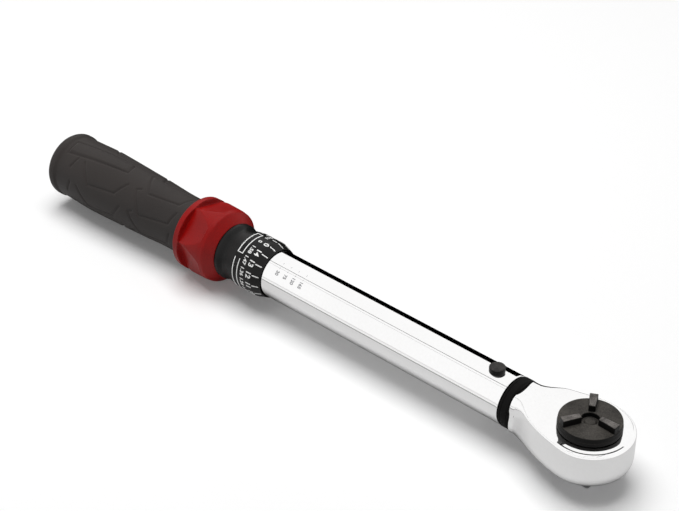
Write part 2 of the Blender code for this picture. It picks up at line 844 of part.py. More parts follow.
def make_click(parts):
    """What trips: the tilting block between the head's arm and the sprung plunger, and the main spring."""
    tilt = block(
        "tilt_block",
        (BLOCK_FRONT - BLOCK_LENGTH, -BLOCK_HALF_WIDTH, -BLOCK_HALF_WIDTH),
        (BLOCK_FRONT, BLOCK_HALF_WIDTH, BLOCK_HALF_WIDTH),
        parts,
    )
    finish(tilt, *STEEL)
    plunger = turned(
        "plunger",
        [
            (PLUNGER_FRONT, PLUNGER_R - 0.6),
            (PLUNGER_FRONT - 0.6, PLUNGER_R),
            (PLUNGER_REAR, PLUNGER_R),
            (PLUNGER_REAR, SPIGOT_R),
            (PLUNGER_REAR - PLUNGER_SPIGOT_LENGTH, SPIGOT_R - 0.5),
        ],
        parts,
        steps=MIDDLE_ROUND,
    )
    finish(plunger, *STEEL)
    spring = coil(
        "main_spring",
        (SEAT_FRONT + GAP, 0, 0),
        (PLUNGER_REAR - GAP, 0, 0),
        SPRING_MEAN_R,
        SPRING_WIRE,
        SPRING_TURNS,
        SPRING_COIL_POINTS,
        parts,
    )
    finish(spring, *STEEL)
    seat = turned(
        "spring_seat",
        [
            (SEAT_FRONT + SEAT_SPIGOT_LENGTH, SPIGOT_R - 0.5),
            (SEAT_FRONT, SPIGOT_R),
            (SEAT_FRONT, PLUNGER_R - 0.1),
            (SEAT_REAR, PLUNGER_R - 0.1),
        ],
        parts,
        steps=MIDDLE_ROUND,
    )
    finish(seat, *STEEL)
    finish(ball("thrust_ball", (SEAT_REAR - GAP - THRUST_BALL_R, 0, 0), THRUST_BALL_R, parts), *STEEL)


def make_handle(parts, cutters):
    sleeve = turned(
        "thimble_sleeve",
        [
            *THIMBLE_PROFILE,
            (THIMBLE_RIM_REAR, SLEEVE_R),
            (SLEEVE_REAR, SLEEVE_R),
            (SLEEVE_REAR, SLEEVE_BORE_R),
            (SLEEVE_FRONT, SLEEVE_BORE_R),
        ],
        parts,
        steps=LARGE_ROUND,
        solid=False,
    )
    for number in range(LOCK_BALLS):
        angle = 360 / LOCK_BALLS * number
        hole = rod(
            f"sleeve_ball_hole_{number + 1}",
            about_axis(LOCK_BALL_X, SLEEVE_BORE_R - 2, angle),
            about_axis(LOCK_BALL_X, SLEEVE_R + 2, angle),
            LOCK_BALL_R + 0.25,
            cutters,
        )
        cut(sleeve, hole)
        centre = about_axis(LOCK_BALL_X, LOCK_BALL_ORBIT, angle)
        finish(ball(f"lock_ball_{number + 1}", centre, LOCK_BALL_R, parts), *STEEL)
    plug_pin_x = (PLUG_FRONT + PLUG_REAR) / 2
    pin_hole_top = SLEEVE_R + 2
    sleeve_hole = rod(
        "sleeve_pin_hole", (plug_pin_x, 0, 8), (plug_pin_x, 0, pin_hole_top), CROSS_PIN_HOLE_R, cutters
    )
    cut(sleeve, sleeve_hole)
    finish(sleeve, *BLACK_STEEL)

    plug = turned(
        "handle_plug",
        [
            (PLUG_FRONT, PLUG_R),
            (PLUG_REAR, PLUG_R),
            (PLUG_REAR, SCREW_R + GAP),
            (PLUG_FRONT, SCREW_R + GAP),
        ],
        parts,
        solid=False,
    )
    hole_bottom = PLUG_PIN_BOTTOM - GAP
    plug_hole = rod(
        "plug_pin_hole",
        (plug_pin_x, 0, hole_bottom),
        (plug_pin_x, 0, pin_hole_top),
        CROSS_PIN_HOLE_R,
        cutters,
    )
    cut(plug, plug_hole)
    finish(plug, *STEEL)
    plug_pin = rod(
        "plug_pin", (plug_pin_x, 0, PLUG_PIN_BOTTOM), (plug_pin_x, 0, PLUG_PIN_TOP), CROSS_PIN_R, parts
    )
    finish(plug_pin, *STEEL)

    screw = turned(
        "adjusting_screw",
        [
            (SCREW_FRONT, SCREW_R - 0.6),
            (SCREW_FRONT - 0.6, SCREW_R),
            (PLUG_FRONT + COLLAR_LENGTH, SCREW_R),
            (PLUG_FRONT + COLLAR_LENGTH, COLLAR_R),
            (PLUG_FRONT + GAP, COLLAR_R),
            (PLUG_FRONT + GAP, SCREW_R),
            (SCREW_REAR + 0.6, SCREW_R),
            (SCREW_REAR, SCREW_R - 0.6),
        ],
        parts,
    )
    finish(screw, *STEEL)
    washer_front = PLUG_REAR - GAP
    washer = turned(
        "nut_washer",
        [
            (washer_front, WASHER_R),
            (washer_front - WASHER_THICKNESS, WASHER_R),
            (washer_front - WASHER_THICKNESS, SCREW_R + GAP),
            (washer_front, SCREW_R + GAP),
        ],
        parts,
        solid=False,
    )
    finish(washer, *STEEL)
    nut_front = washer_front - WASHER_THICKNESS - GAP
    nut_rear = nut_front - HANDLE_NUT_LENGTH
    nut = rod("handle_nut", (nut_front, 0, 0), (nut_rear, 0, 0), HANDLE_NUT_R, parts, 6)
    bore = rod(
        "handle_nut_bore", (nut_front + 1, 0, 0), (nut_rear - 1, 0, 0), SCREW_R + GAP, cutters, SMALL_ROUND
    )
    cut(nut, bore)
    finish(nut, *STEEL)


def make_lock_ring(parts, cutters):
    ramp_r = LOCK_BALL_ORBIT + LOCK_BALL_R + GAP

    def ramp(x):
        return ramp_r + RAMP_SLOPE * (x - LOCK_BALL_X)

    ring = turned(
        "lock_ring",
        [
            *RING_PROFILE,
            (RING_REAR, RING_SPRING_BORE_R),
            (RING_WEB_REAR, RING_SPRING_BORE_R),
            (RING_WEB_REAR, RING_BORE_R),
            (RING_WEB_FRONT, RING_BORE_R),
            (RING_WEB_FRONT, ramp(RAMP_REAR)),
            (RAMP_REAR, ramp(RAMP_REAR)),
            (RAMP_FRONT, ramp(RAMP_FRONT)),
            (RING_LIP_REAR - 2.0, ramp(RAMP_FRONT)),
            (RING_LIP_REAR, RING_LIP_R),
            (RING_LIP_REAR, RING_BORE_R),
            (RING_FRONT, RING_BORE_R),
        ],
        parts,
        steps=LARGE_ROUND,
        solid=False,
        phase=math.radians(180 / LARGE_ROUND),
    )
    for number in range(POCKETS):
        scoop = pocket_cutter(f"ring_pocket_{number + 1}", cutters)
        scoop.rotation_euler = (math.radians(POCKET_ANGLE + 360 / POCKETS * number), 0.0, 0.0)
        cut(ring, scoop)
    finish(ring, *RED)

    spring = coil(
        "lock_ring_spring",
        (GRIP_FRONT + GAP, 0, 0),
        (RING_WEB_REAR - GAP, 0, 0),
        RING_SPRING_R,
        RING_SPRING_WIRE,
        RING_SPRING_TURNS,
        SMALL_ROUND,
        parts,
    )
    finish(spring, *STEEL)


def pocket_cutter(name, cutters):
    """A wedge over the top of the ring, deep at its rear end, that leaves a sloping flat."""
    side = [
        (POCKET_REAR, POCKET_DEEP_R),
        (POCKET_FRONT, POCKET_SHALLOW_R),
        (POCKET_FRONT, POCKET_CUT_TOP),
        (POCKET_REAR, POCKET_CUT_TOP),
    ]
    bm = bmesh.new()
    base = bm.faces.new([bm.verts.new((x * MM, -POCKET_CUT_HALF_WIDTH * MM, r * MM)) for x, r in side])
    raised = bmesh.ops.extrude_face_region(bm, geom=[base])["geom"]
    upper = [item for item in raised if isinstance(item, bmesh.types.BMVert)]
    bmesh.ops.translate(bm, verts=upper, vec=(0.0, 2 * POCKET_CUT_HALF_WIDTH * MM, 0.0))
    return place(name, mesh_of(name, bm), cutters)


def make_grip(parts):
    grip = turned(
        "grip",
        [
            *GRIP_PROFILE,
            (GRIP_REAR, GRIP_BORE_R),
            (GRIP_FRONT, GRIP_BORE_R),
        ],
        parts,
        steps=LARGE_ROUND,
        solid=False,
    )
    finish(grip, *GRIP_RUBBER)
    cap = turned(
        "end_cap",
        [
            (CAP_FRONT, CAP_R - 0.6),
            (CAP_FRONT - 0.6, CAP_R),
            (CAP_REAR + 1.2, CAP_R),
            (CAP_REAR + 0.4, CAP_R - 0.6),
            (CAP_REAR, CAP_R - 1.6),
        ],
        parts,
        steps=MIDDLE_ROUND,
    )
    finish(cap, *RUBBER)


def carry(name, at, members):
    """An empty on a joint's axis, with the pieces that move about it as its children."""
    axis = bpy.data.objects.new(name, None)
    axis.location = Vector(at) * MM
    axis.empty_display_size = 0.01
    bpy.data.collections[PARTS].objects.link(axis)
    for member in members:
        piece = bpy.data.objects[member]
        piece.parent = axis
        piece.matrix_parent_inverse = Matrix.Translation(-Vector(at) * MM)


def main():
    clear_scene()
    parts = collection(PARTS)
    cutters = collection(CUTTERS)
    make_tube(parts, cutters)
    make_head(parts, cutters)
    make_cover(parts, cutters)
    make_drive(parts, cutters)
    make_pawl(parts, cutters)
    make_dial(parts, cutters)
    make_click(parts)
    make_handle(parts, cutters)
    make_lock_ring(parts, cutters)
    make_grip(parts)
    head = ["ratchet_head", "head_seal", "head_cover", "cover_screw_1", "cover_screw_2"]
    carry("head_axis", (PIVOT_X, 0, AXIS_HEIGHT), head + ["pawl_pin", "pawl_spring"])
    carry("drive_axis", (0, 0, 0), ["drive_gear", "drive_ball", "drive_ball_spring"])
    carry("dial_axis", (0, 0, AXIS_HEIGHT), ["reverse_dial", "dial_pin", "dial_retaining_ring"])
    carry("pawl_axis", (PAWL_PIVOT_X, 0, AXIS_HEIGHT), ["pawl"])
    block_corner = (BLOCK_FRONT - BLOCK_LENGTH, -BLOCK_HALF_WIDTH, AXIS_HEIGHT)
    carry("tilt_axis", block_corner, ["tilt_block"])


main()
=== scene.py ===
"""Looks of a click-type torque wrench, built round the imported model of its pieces.

Sizes are millimetres, and MM turns them into metres. X runs along the tube with the head at +X, and Z runs
up the drive's axis from the tabletop. Angles round the tube count in degrees from its top towards -Y.
"""

import json
import math

import bmesh
import bpy
import numpy as np
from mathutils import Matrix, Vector


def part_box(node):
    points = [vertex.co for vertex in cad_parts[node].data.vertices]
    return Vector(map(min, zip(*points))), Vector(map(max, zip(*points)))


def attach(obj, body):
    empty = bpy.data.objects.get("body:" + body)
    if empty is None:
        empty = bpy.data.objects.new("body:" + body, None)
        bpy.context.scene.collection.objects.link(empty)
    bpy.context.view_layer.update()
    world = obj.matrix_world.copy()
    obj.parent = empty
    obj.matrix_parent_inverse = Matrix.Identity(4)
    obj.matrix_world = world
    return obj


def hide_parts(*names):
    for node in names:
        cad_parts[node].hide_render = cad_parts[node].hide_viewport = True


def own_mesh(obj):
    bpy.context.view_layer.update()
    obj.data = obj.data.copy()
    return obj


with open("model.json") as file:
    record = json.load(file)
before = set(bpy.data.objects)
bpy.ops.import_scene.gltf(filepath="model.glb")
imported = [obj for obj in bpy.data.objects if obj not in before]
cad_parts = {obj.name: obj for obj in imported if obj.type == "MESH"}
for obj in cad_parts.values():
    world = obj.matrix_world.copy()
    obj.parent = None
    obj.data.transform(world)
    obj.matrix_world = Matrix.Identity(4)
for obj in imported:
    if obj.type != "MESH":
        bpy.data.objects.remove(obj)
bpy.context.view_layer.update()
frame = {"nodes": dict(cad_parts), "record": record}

# Studio: a pale tabletop in an even white room, with one wide soft lamp overhead.
# The camera stands where the photograph was taken from. Cards that it doesn't see show in polished metal
# alone, which mirrors them as the dark edge, the grey underside and the thin lines along its rounds.
MM = 0.001
SHARP_ANGLE = 40.0
MERGE_WITHIN = 0.0001
CAMERA_PLACE = (256.975, -412.827, 426.52)
CAMERA_DOWN = 34.54
CAMERA_AZIMUTH = 42.41
CAMERA_LENS = 93.08
CAMERA_SENSOR = 36.0
FLOOR_REACH = 4000.0
FLOOR_COLOUR = (0.90, 0.90, 0.90)
FLOOR_ROUGHNESS = 0.9
FLOOR_SHEEN = 0.1
FLOOR_LIFT = 0.10
ROOM_LIGHT = 0.22
LAMP_PLACE = (-330.0, 40.0, 1250.0)
LAMP_AIM = (-130.0, 0.0, 10.0)
LAMP_SIZE = 1000.0
LAMP_WATTS = 15.5
CARD_REACH = 2600.0
FLOOR_CARD_HEIGHT = 0.3
FLOOR_CARD_START = -75.0
FLOOR_CARD_SHADE = 0.64
FLOOR_EDGE_START = -100.0
FLOOR_EDGE_SHADE = 0.30
DARK_CARD_HEIGHT = 0.6
DARK_CARD_START = 24.0
DARK_CARD_END = -52.0
BACK_CARD_Y = 330.0
BACK_CARD_TOP = 155.0
BACK_CARD_END = -170.0
OVERHEAD = 1017.0
FIRST_LINE = (-142.0, -100.0)
FIRST_LINE_SHADE = 0.22
SECOND_LINE = (-330.0, -305.0)
SECOND_LINE_SHADE = 0.55


def solid(name, points, faces):
    """A mesh from points in millimetres: doubles merged, faces turned outwards and rounds shaded smooth."""
    mesh = bpy.data.meshes.new(name)
    mesh.from_pydata((np.asarray(points, float) * MM).tolist(), [], faces)
    shape = bmesh.new()
    shape.from_mesh(mesh)
    bmesh.ops.remove_doubles(shape, verts=shape.verts, dist=MERGE_WITHIN * MM)
    bmesh.ops.recalc_face_normals(shape, faces=shape.faces)
    shape.to_mesh(mesh)
    shape.free()
    mesh.shade_smooth()
    mesh.set_sharp_from_angle(angle=math.radians(SHARP_ANGLE))
    piece = bpy.data.objects.new(name, mesh)
    bpy.context.scene.collection.objects.link(piece)
    return piece


def shader_of(material):
    """The material's Principled shader, with its nodes switched on."""
    material.use_nodes = True
    return material.node_tree.nodes["Principled BSDF"]


def card_along(name, near, far, shade, end=CARD_REACH, lit=False):
    """A flat card along X, up to its end, between two (y, z) edges. Only reflections see it. It glows in
    its own shade, or takes the room's light and the object's shadow."""
    corners = [(-CARD_REACH, *near), (end, *near), (end, *far), (-CARD_REACH, *far)]
    card = solid(name, corners, [[0, 1, 2, 3]])
    material = bpy.data.materials.new(name)
    shader = shader_of(material)
    grey = (shade, shade, shade, 1.0)
    shader.inputs["Base Color"].default_value = grey if lit else (0.0, 0.0, 0.0, 1.0)
    shader.inputs["Emission Color"].default_value = grey
    shader.inputs["Emission Strength"].default_value = 0.0 if lit else 1.0
    shader.inputs["Specular IOR Level"].default_value = 0.0
    card.data.materials.append(material)
    card.visible_camera = False
    card.visible_diffuse = False
    card.visible_shadow = False
    card.visible_transmission = False


camera = bpy.data.objects.new("camera", bpy.data.cameras.new("camera"))
camera.location = [value * MM for value in CAMERA_PLACE]
camera.rotation_euler = (math.radians(90 - CAMERA_DOWN), 0.0, math.radians(CAMERA_AZIMUTH))
camera.data.lens = CAMERA_LENS
camera.data.sensor_width = CAMERA_SENSOR
camera.data.sensor_fit = "HORIZONTAL"
bpy.context.scene.collection.objects.link(camera)
bpy.context.scene.camera = camera
bpy.context.scene.view_settings.view_transform = "Standard"

floor_corners = np.array([(-1, -1, 0), (1, -1, 0), (1, 1, 0), (-1, 1, 0)]) * FLOOR_REACH
floor = solid("floor", floor_corners, [[0, 1, 2, 3]])
floor_paint = bpy.data.materials.new("floor_paint")
shader_of(floor_paint).inputs["Base Color"].default_value = (*FLOOR_COLOUR, 1.0)
shader_of(floor_paint).inputs["Roughness"].default_value = FLOOR_ROUGHNESS
shader_of(floor_paint).inputs["Specular IOR Level"].default_value = FLOOR_SHEEN
floor_paths = floor_paint.node_tree.nodes.new("ShaderNodeLightPath")
floor_lift = floor_paint.node_tree.nodes.new("ShaderNodeMapRange")
floor_lift.inputs["To Max"].default_value = FLOOR_LIFT
floor_paint.node_tree.links.new(floor_paths.outputs["Is Camera Ray"], floor_lift.inputs["Value"])
floor_paint.node_tree.links.new(floor_lift.outputs[0], shader_of(floor_paint).inputs["Emission Strength"])
shader_of(floor_paint).inputs["Emission Color"].default_value = (1.0, 1.0, 1.0, 1.0)
floor.data.materials.append(floor_paint)

card_along("card_floor", (FLOOR_CARD_START, FLOOR_CARD_HEIGHT), (CARD_REACH, FLOOR_CARD_HEIGHT),
           shade=FLOOR_CARD_SHADE, lit=True)
card_along("card_floor_edge", (FLOOR_EDGE_START, FLOOR_CARD_HEIGHT), (FLOOR_CARD_START, FLOOR_CARD_HEIGHT),
           shade=FLOOR_EDGE_SHADE)
card_along("card_behind_low", (DARK_CARD_START, DARK_CARD_HEIGHT), (BACK_CARD_Y, DARK_CARD_HEIGHT),
           shade=0.0, end=DARK_CARD_END)
card_along("card_behind", (BACK_CARD_Y, DARK_CARD_HEIGHT), (BACK_CARD_Y, BACK_CARD_TOP),
           shade=0.0, end=BACK_CARD_END)
card_along("card_overhead_line", (FIRST_LINE[0], OVERHEAD), (FIRST_LINE[1], OVERHEAD),
           shade=FIRST_LINE_SHADE)
card_along("card_overhead_second_line", (SECOND_LINE[0], OVERHEAD), (SECOND_LINE[1], OVERHEAD),
           shade=SECOND_LINE_SHADE)

world = bpy.data.worlds.new("white_room")
bpy.context.scene.world = world
world.use_nodes = True
room = world.node_tree.nodes["Background"]
room.inputs["Color"].default_value = (1.0, 1.0, 1.0, 1.0)
rays = world.node_tree.nodes.new("ShaderNodeLightPath")
seen = world.node_tree.nodes.new("ShaderNodeMath")
seen.operation = "MAXIMUM"
level = world.node_tree.nodes.new("ShaderNodeMapRange")
level.inputs["To Min"].default_value = ROOM_LIGHT
level.inputs["To Max"].default_value = 1.0
world.node_tree.links.new(rays.outputs["Is Camera Ray"], seen.inputs[0])
world.node_tree.links.new(rays.outputs["Is Glossy Ray"], seen.inputs[1])
world.node_tree.links.new(seen.outputs[0], level.inputs["Value"])
world.node_tree.links.new(level.outputs[0], room.inputs["Strength"])

lamp = bpy.data.objects.new("lamp", bpy.data.lights.new("lamp", "AREA"))
lamp.data.shape = "SQUARE"
lamp.data.size = LAMP_SIZE * MM
lamp.data.energy = LAMP_WATTS
lamp.visible_glossy = False
lamp.location = [value * MM for value in LAMP_PLACE]
lamp.rotation_euler = (Vector(LAMP_AIM) - Vector(LAMP_PLACE)).to_track_quat("-Z", "Y").to_euler()
bpy.context.scene.collection.objects.link(lamp)

# Tube: the wrench's body, a drawn steel tube with polished chrome plate.
# Its front mouth is broken with a small round. In front of the thimble it carries a fine main scale, with
# one figure for every three turns.
TUBE_R = 10.0
TUBE_BORE_R = 8.0
TUBE_MOUTH_ROUND = 0.6
TUBE_REAR_ROUND = 0.3
ROUND_COLUMNS = 192
ROUND_STEPS = 6
FLAT_GUARD = 0.3
CHROME = (0.975, 0.972, 0.97)
CHROME_SHADE = (0.945, 0.94, 0.937)
GRAIN_DETAIL = 3.0
GRAIN_RANGE = (0.7, 1.3)
PAINTED_SHADE_FACING = (0.4, 0.95)
FIGURE_HEIGHT_SHARE = 0.72
FIGURE_BOLDNESS = 0.035
FIGURE_PROUD = 0.08
FIGURE_CURVE_STEPS = 6
SCALE_DARK = (0.26, 0.26, 0.27)
SCALE_LIGHT = (0.34, 0.34, 0.35)
SCALE_STEP = 4.2
SCALE_FIRST_X = -147.4
SCALE_ANGLE = 44.5
SCALE_FIGURES = ("30", "75", "120", "165")
SCALE_FIGURE_HEIGHT = 1.5
SCALE_TICK = (3.0, 0.12)
SCALE_TICK_TURN = 20.0


def span(node, axis):
    """A node's lowest and highest place along axis 0, 1 or 2, in millimetres."""
    low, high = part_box(node)
    return low[axis] / MM, high[axis] / MM


axis_height = sum(span("tube", 2)) / 2


def skin(name, *sheets):
    """One mesh from sheets of points (rows, columns, 3): each cell is a face, and the last column joins the
    first."""
    points, faces, count = [], [], 0
    for sheet in sheets:
        rows, columns = sheet.shape[:2]
        index = count + np.arange(rows * columns).reshape(rows, columns)
        beside = np.roll(index, -1, axis=1)
        faces.append(np.stack([index[:-1], beside[:-1], beside[1:], index[1:]], axis=-1).reshape(-1, 4))
        points.append(sheet.reshape(-1, 3))
        count += rows * columns
    return solid(name, np.vstack(points), np.vstack(faces).tolist())


def filleted(corners):
    """A profile with round corners. A corner (along, across, cut) becomes a curve from cut before it to cut
    after it, pulled towards the corner, with a further point beyond each end that keeps the flats flat."""
    corners = np.array(corners, float)
    share = np.linspace(0.0, 1.0, ROUND_STEPS + 1)[:, None]
    runs = []
    for before, here, after in zip(np.roll(corners, 1, 0), corners, np.roll(corners, -1, 0)):
        spot, cut = here[:2], here[2]
        if cut == 0.0:
            runs.append(spot[None])
            continue
        back = (before[:2] - spot) / np.linalg.norm(before[:2] - spot)
        on = (after[:2] - spot) / np.linalg.norm(after[:2] - spot)
        start, end = spot + back * cut, spot + on * cut
        bend = (1 - share) ** 2 * start + 2 * share * (1 - share) * spot + share**2 * end
        guard = cut * FLAT_GUARD
        runs.append(np.vstack([start + back * guard, bend, end + on * guard]))
    return np.vstack(runs)


def about_tube(x, radius, degrees):
    """Points round the tube's axis: x along it, and radius and degrees round it, as arrays that
    broadcast."""
    angle = np.radians(degrees)
    across, up = -radius * np.sin(angle), axis_height + radius * np.cos(angle)
    return np.stack(np.broadcast_arrays(x, across, up), -1)


def turned(profile, columns=ROUND_COLUMNS):
    """A profile of (x, radius) points carried round the tube's axis."""
    degrees = np.linspace(0.0, 360.0, columns, endpoint=False)
    return about_tube(profile[:, :1], profile[:, 1:], degrees)


def grain_group():
    """Fine unevenness of a finish: noise at two scales, on the piece's own coordinates, mixes two colours
    and two roughnesses and puts out a height."""
    group = bpy.data.node_groups.new("grain", "ShaderNodeTree")
    for name, kind in (("Dark", "Color"), ("Light", "Color"), ("Cells", "Float"), ("Patches", "Float"),
                       ("Smooth", "Float"), ("Rough", "Float")):
        group.interface.new_socket(name, in_out="INPUT", socket_type="NodeSocket" + kind)
    for name, kind in (("Colour", "Color"), ("Roughness", "Float"), ("Height", "Float")):
        group.interface.new_socket(name, in_out="OUTPUT", socket_type="NodeSocket" + kind)
    nodes, link = group.nodes, group.links.new
    given, put = nodes.new("NodeGroupInput"), nodes.new("NodeGroupOutput")
    place = nodes.new("ShaderNodeTexCoord")
    fine, broad = nodes.new("ShaderNodeTexNoise"), nodes.new("ShaderNodeTexNoise")
    both = nodes.new("ShaderNodeMath")
    both.operation = "ADD"
    share, rough = nodes.new("ShaderNodeMapRange"), nodes.new("ShaderNodeMapRange")
    tint = nodes.new("ShaderNodeMix")
    tint.data_type = "RGBA"
    share.inputs["From Min"].default_value = GRAIN_RANGE[0]
    share.inputs["From Max"].default_value = GRAIN_RANGE[1]
    for noise, scale in ((fine, "Cells"), (broad, "Patches")):
        noise.inputs["Detail"].default_value = GRAIN_DETAIL
        link(place.outputs["Object"], noise.inputs["Vector"])
        link(given.outputs[scale], noise.inputs["Scale"])
    link(fine.outputs["Fac"], both.inputs[0])
    link(broad.outputs["Fac"], both.inputs[1])
    link(both.outputs[0], share.inputs["Value"])
    link(share.outputs[0], tint.inputs["Factor"])
    link(given.outputs["Dark"], tint.inputs["A"])
    link(given.outputs["Light"], tint.inputs["B"])
    link(share.outputs[0], rough.inputs["Value"])
    link(given.outputs["Smooth"], rough.inputs["To Min"])
    link(given.outputs["Rough"], rough.inputs["To Max"])
    link(tint.outputs["Result"], put.inputs["Colour"])
    link(rough.outputs[0], put.inputs["Roughness"])
    link(fine.outputs["Fac"], put.inputs["Height"])
    return group


grain = grain_group()


def finish(name, dark, light, cells, patches, smooth, rough, bump=0.0, flank=None, **sockets):
    """A material in the grain's two colours and roughnesses. Cells and patches are per metre, bump is the
    depth of the grain in millimetres, flank is a further colour for faces that don't look up, painted shade
    that darkens sides and undersides as if lit from above, and sockets are the shader's constant values."""
    material = bpy.data.materials.new(name)
    shader = shader_of(material)
    nodes, link = material.node_tree.nodes, material.node_tree.links.new
    uneven = nodes.new("ShaderNodeGroup")
    uneven.node_tree = grain
    for socket, value in (("Dark", (*dark, 1.0)), ("Light", (*light, 1.0)), ("Cells", cells),
                          ("Patches", patches), ("Smooth", smooth), ("Rough", rough)):
        uneven.inputs[socket].default_value = value
    colour = uneven.outputs["Colour"]
    # Painted shade: faces that don't look up are mixed towards the flank colour, as if lit from above.
    if flank:
        facing, split = nodes.new("ShaderNodeTexCoord"), nodes.new("ShaderNodeSeparateXYZ")
        upward, painted_shade_mix = nodes.new("ShaderNodeMapRange"), nodes.new("ShaderNodeMix")
        upward.inputs["From Min"].default_value = PAINTED_SHADE_FACING[0]
        upward.inputs["From Max"].default_value = PAINTED_SHADE_FACING[1]
        painted_shade_mix.data_type = "RGBA"
        painted_shade_mix.inputs["A"].default_value = (*flank, 1.0)
        link(facing.outputs["Normal"], split.inputs["Vector"])
        link(split.outputs["Z"], upward.inputs["Value"])
        link(upward.outputs[0], painted_shade_mix.inputs["Factor"])
        link(colour, painted_shade_mix.inputs["B"])
        colour = painted_shade_mix.outputs["Result"]
    link(colour, shader.inputs["Base Color"])
    link(uneven.outputs["Roughness"], shader.inputs["Roughness"])
    if bump:
        relief = nodes.new("ShaderNodeBump")
        relief.inputs["Distance"].default_value = bump * MM
        link(uneven.outputs["Height"], relief.inputs["Height"])
        link(relief.outputs["Normal"], shader.inputs["Normal"])
    for socket, value in sockets.items():
        shader.inputs[socket.replace("_", " ")].default_value = value
    return material


def dress(piece, material, body, slot, *nodes):
    """Gives a piece its material and the body it rides on, and hides the CAD nodes that it stands for. The
    slot is not used."""
    piece.data.materials.append(material)
    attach(piece, body)
    if nodes:
        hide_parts(*nodes)


def figures(text, height):
    """Bold figures of that height, centred on the origin: flat (along, up, out) points, and their faces."""
    outline = bpy.data.curves.new("figures", "FONT")
    outline.body = text
    outline.size = height / FIGURE_HEIGHT_SHARE
    outline.align_x = "CENTER"
    outline.align_y = "CENTER"
    outline.offset = FIGURE_BOLDNESS * height
    outline.extrude = FIGURE_PROUD
    outline.resolution_u = FIGURE_CURVE_STEPS
    holder = bpy.data.objects.new("figures", outline)
    bpy.context.scene.collection.objects.link(holder)
    bpy.context.view_layer.update()
    mesh = bpy.data.meshes.new_from_object(holder.evaluated_get(bpy.context.evaluated_depsgraph_get()))
    points = np.empty(len(mesh.vertices) * 3)
    mesh.vertices.foreach_get("co", points)
    faces = [list(face.vertices) for face in mesh.polygons]
    bpy.data.objects.remove(holder)
    bpy.data.curves.remove(outline)
    bpy.data.meshes.remove(mesh)
    return points.reshape(-1, 3), faces


def stroke(width, length):
    """A straight mark: a thin bar as flat (along, up, out) points, and its faces."""
    box = np.array([(a, u, o) for a in (-0.5, 0.5) for u in (-0.5, 0.5) for o in (-1.0, 1.0)])
    faces = [[0, 1, 3, 2], [4, 6, 7, 5], [0, 4, 5, 1], [2, 3, 7, 6], [0, 2, 6, 4], [1, 5, 7, 3]]
    return box * (width, length, FIGURE_PROUD), faces


def wrapped(name, marks, radius_at):
    """One mesh of flat marks (shape, x, degrees) laid round the tube's axis. Along runs round the axis, up
    runs towards +X, and out stands on the surface, whose radius is a function of x."""
    points, faces, count = [], [], 0
    for (flat, cells), x, degrees in marks:
        along, up, out = flat.T
        base = radius_at(x + up)
        points.append(about_tube(x + up, base + out, degrees + np.degrees(along / radius_at(x))))
        faces += [[corner + count for corner in cell] for cell in cells]
        count += len(flat)
    return solid(name, np.vstack(points), faces)


def tube_radius(x):
    """The tube's radius, the same at every x."""
    return np.full_like(x, TUBE_R)


chrome = finish("chrome", CHROME_SHADE, CHROME, cells=900.0, patches=40.0, smooth=0.045, rough=0.075,
                Metallic=1.0)
tube_rear, tube_front = span("tube", 0)
tube = skin("tube_chrome", turned(filleted([
    (tube_front, TUBE_BORE_R, 0.0),
    (tube_front, TUBE_R, TUBE_MOUTH_ROUND),
    (tube_rear, TUBE_R, TUBE_REAR_ROUND),
    (tube_rear, TUBE_BORE_R, 0.0),
    (tube_front, TUBE_BORE_R, 0.0),
])))
dress(tube, chrome, "tube", "chrome", "tube")

scale_marks = []
for number, text in enumerate(SCALE_FIGURES):
    x = SCALE_FIRST_X + SCALE_STEP * number
    scale_marks.append((figures(text, SCALE_FIGURE_HEIGHT), x, SCALE_ANGLE))
    scale_marks.append((stroke(*SCALE_TICK), x, SCALE_ANGLE - SCALE_TICK_TURN))
engraving = finish("scale_engraving", SCALE_DARK, SCALE_LIGHT, cells=4000.0, patches=200.0, smooth=0.4,
                   rough=0.6)
scale = wrapped("tube_scale", scale_marks, tube_radius)
dress(scale, engraving, "tube", "chrome")

# Pivot pin: a hard steel pin with a black oxide finish, pressed through the tube and the head's arm.
# Its upper end stands proud of the tube as a round button with a broken edge and a slight dish.
PIN_R = 3.1
PIN_EDGE = 0.35
PIN_FOOT_EDGE = 0.4
PIN_RIM_R = 2.3
PIN_RIM_ROUND = 0.2
PIN_DISH_R = 1.6
PIN_DISH_ROUND = 0.3
PIN_DISH_DEPTH = 0.2
PIN_MIDDLE_DEPTH = 0.25
SMALL_COLUMNS = 64
PIN_BLACK = (0.016, 0.015, 0.015)
PIN_GREY = (0.060, 0.056, 0.054)
# Painted shade for the button's sides and underside:
PIN_PAINTED_SHADE = (0.003, 0.003, 0.003)


def upright(profile, x=0.0, columns=ROUND_COLUMNS):
    """A profile of (height over the tube's axis, radius) points carried round a vertical axis at x."""
    angle = np.linspace(0.0, 2 * np.pi, columns, endpoint=False)
    height, radius = profile[:, :1], profile[:, 1:]
    return np.stack(np.broadcast_arrays(
        x + radius * np.cos(angle), radius * np.sin(angle), axis_height + height), -1)


pin_x = sum(span("pivot_pin", 0)) / 2
pin_bottom, pin_top = (z - axis_height for z in span("pivot_pin", 2))
pin = skin("pivot_pin_button", upright(filleted([
    (pin_top - PIN_MIDDLE_DEPTH, 0.0, 0.0),
    (pin_top - PIN_DISH_DEPTH, PIN_DISH_R, PIN_DISH_ROUND),
    (pin_top, PIN_RIM_R, PIN_RIM_ROUND),
    (pin_top, PIN_R, PIN_EDGE),
    (pin_bottom, PIN_R, PIN_FOOT_EDGE),
    (pin_bottom, 0.0, 0.0),
]), pin_x, SMALL_COLUMNS))
oxide = finish("black_oxide", PIN_BLACK, PIN_GREY, cells=5000.0, patches=300.0, smooth=0.30, rough=0.50,
               bump=0.01, flank=PIN_PAINTED_SHADE, Specular_IOR_Level=0.12)
dress(pin, oxide, "tube", "black_steel", "pivot_pin")

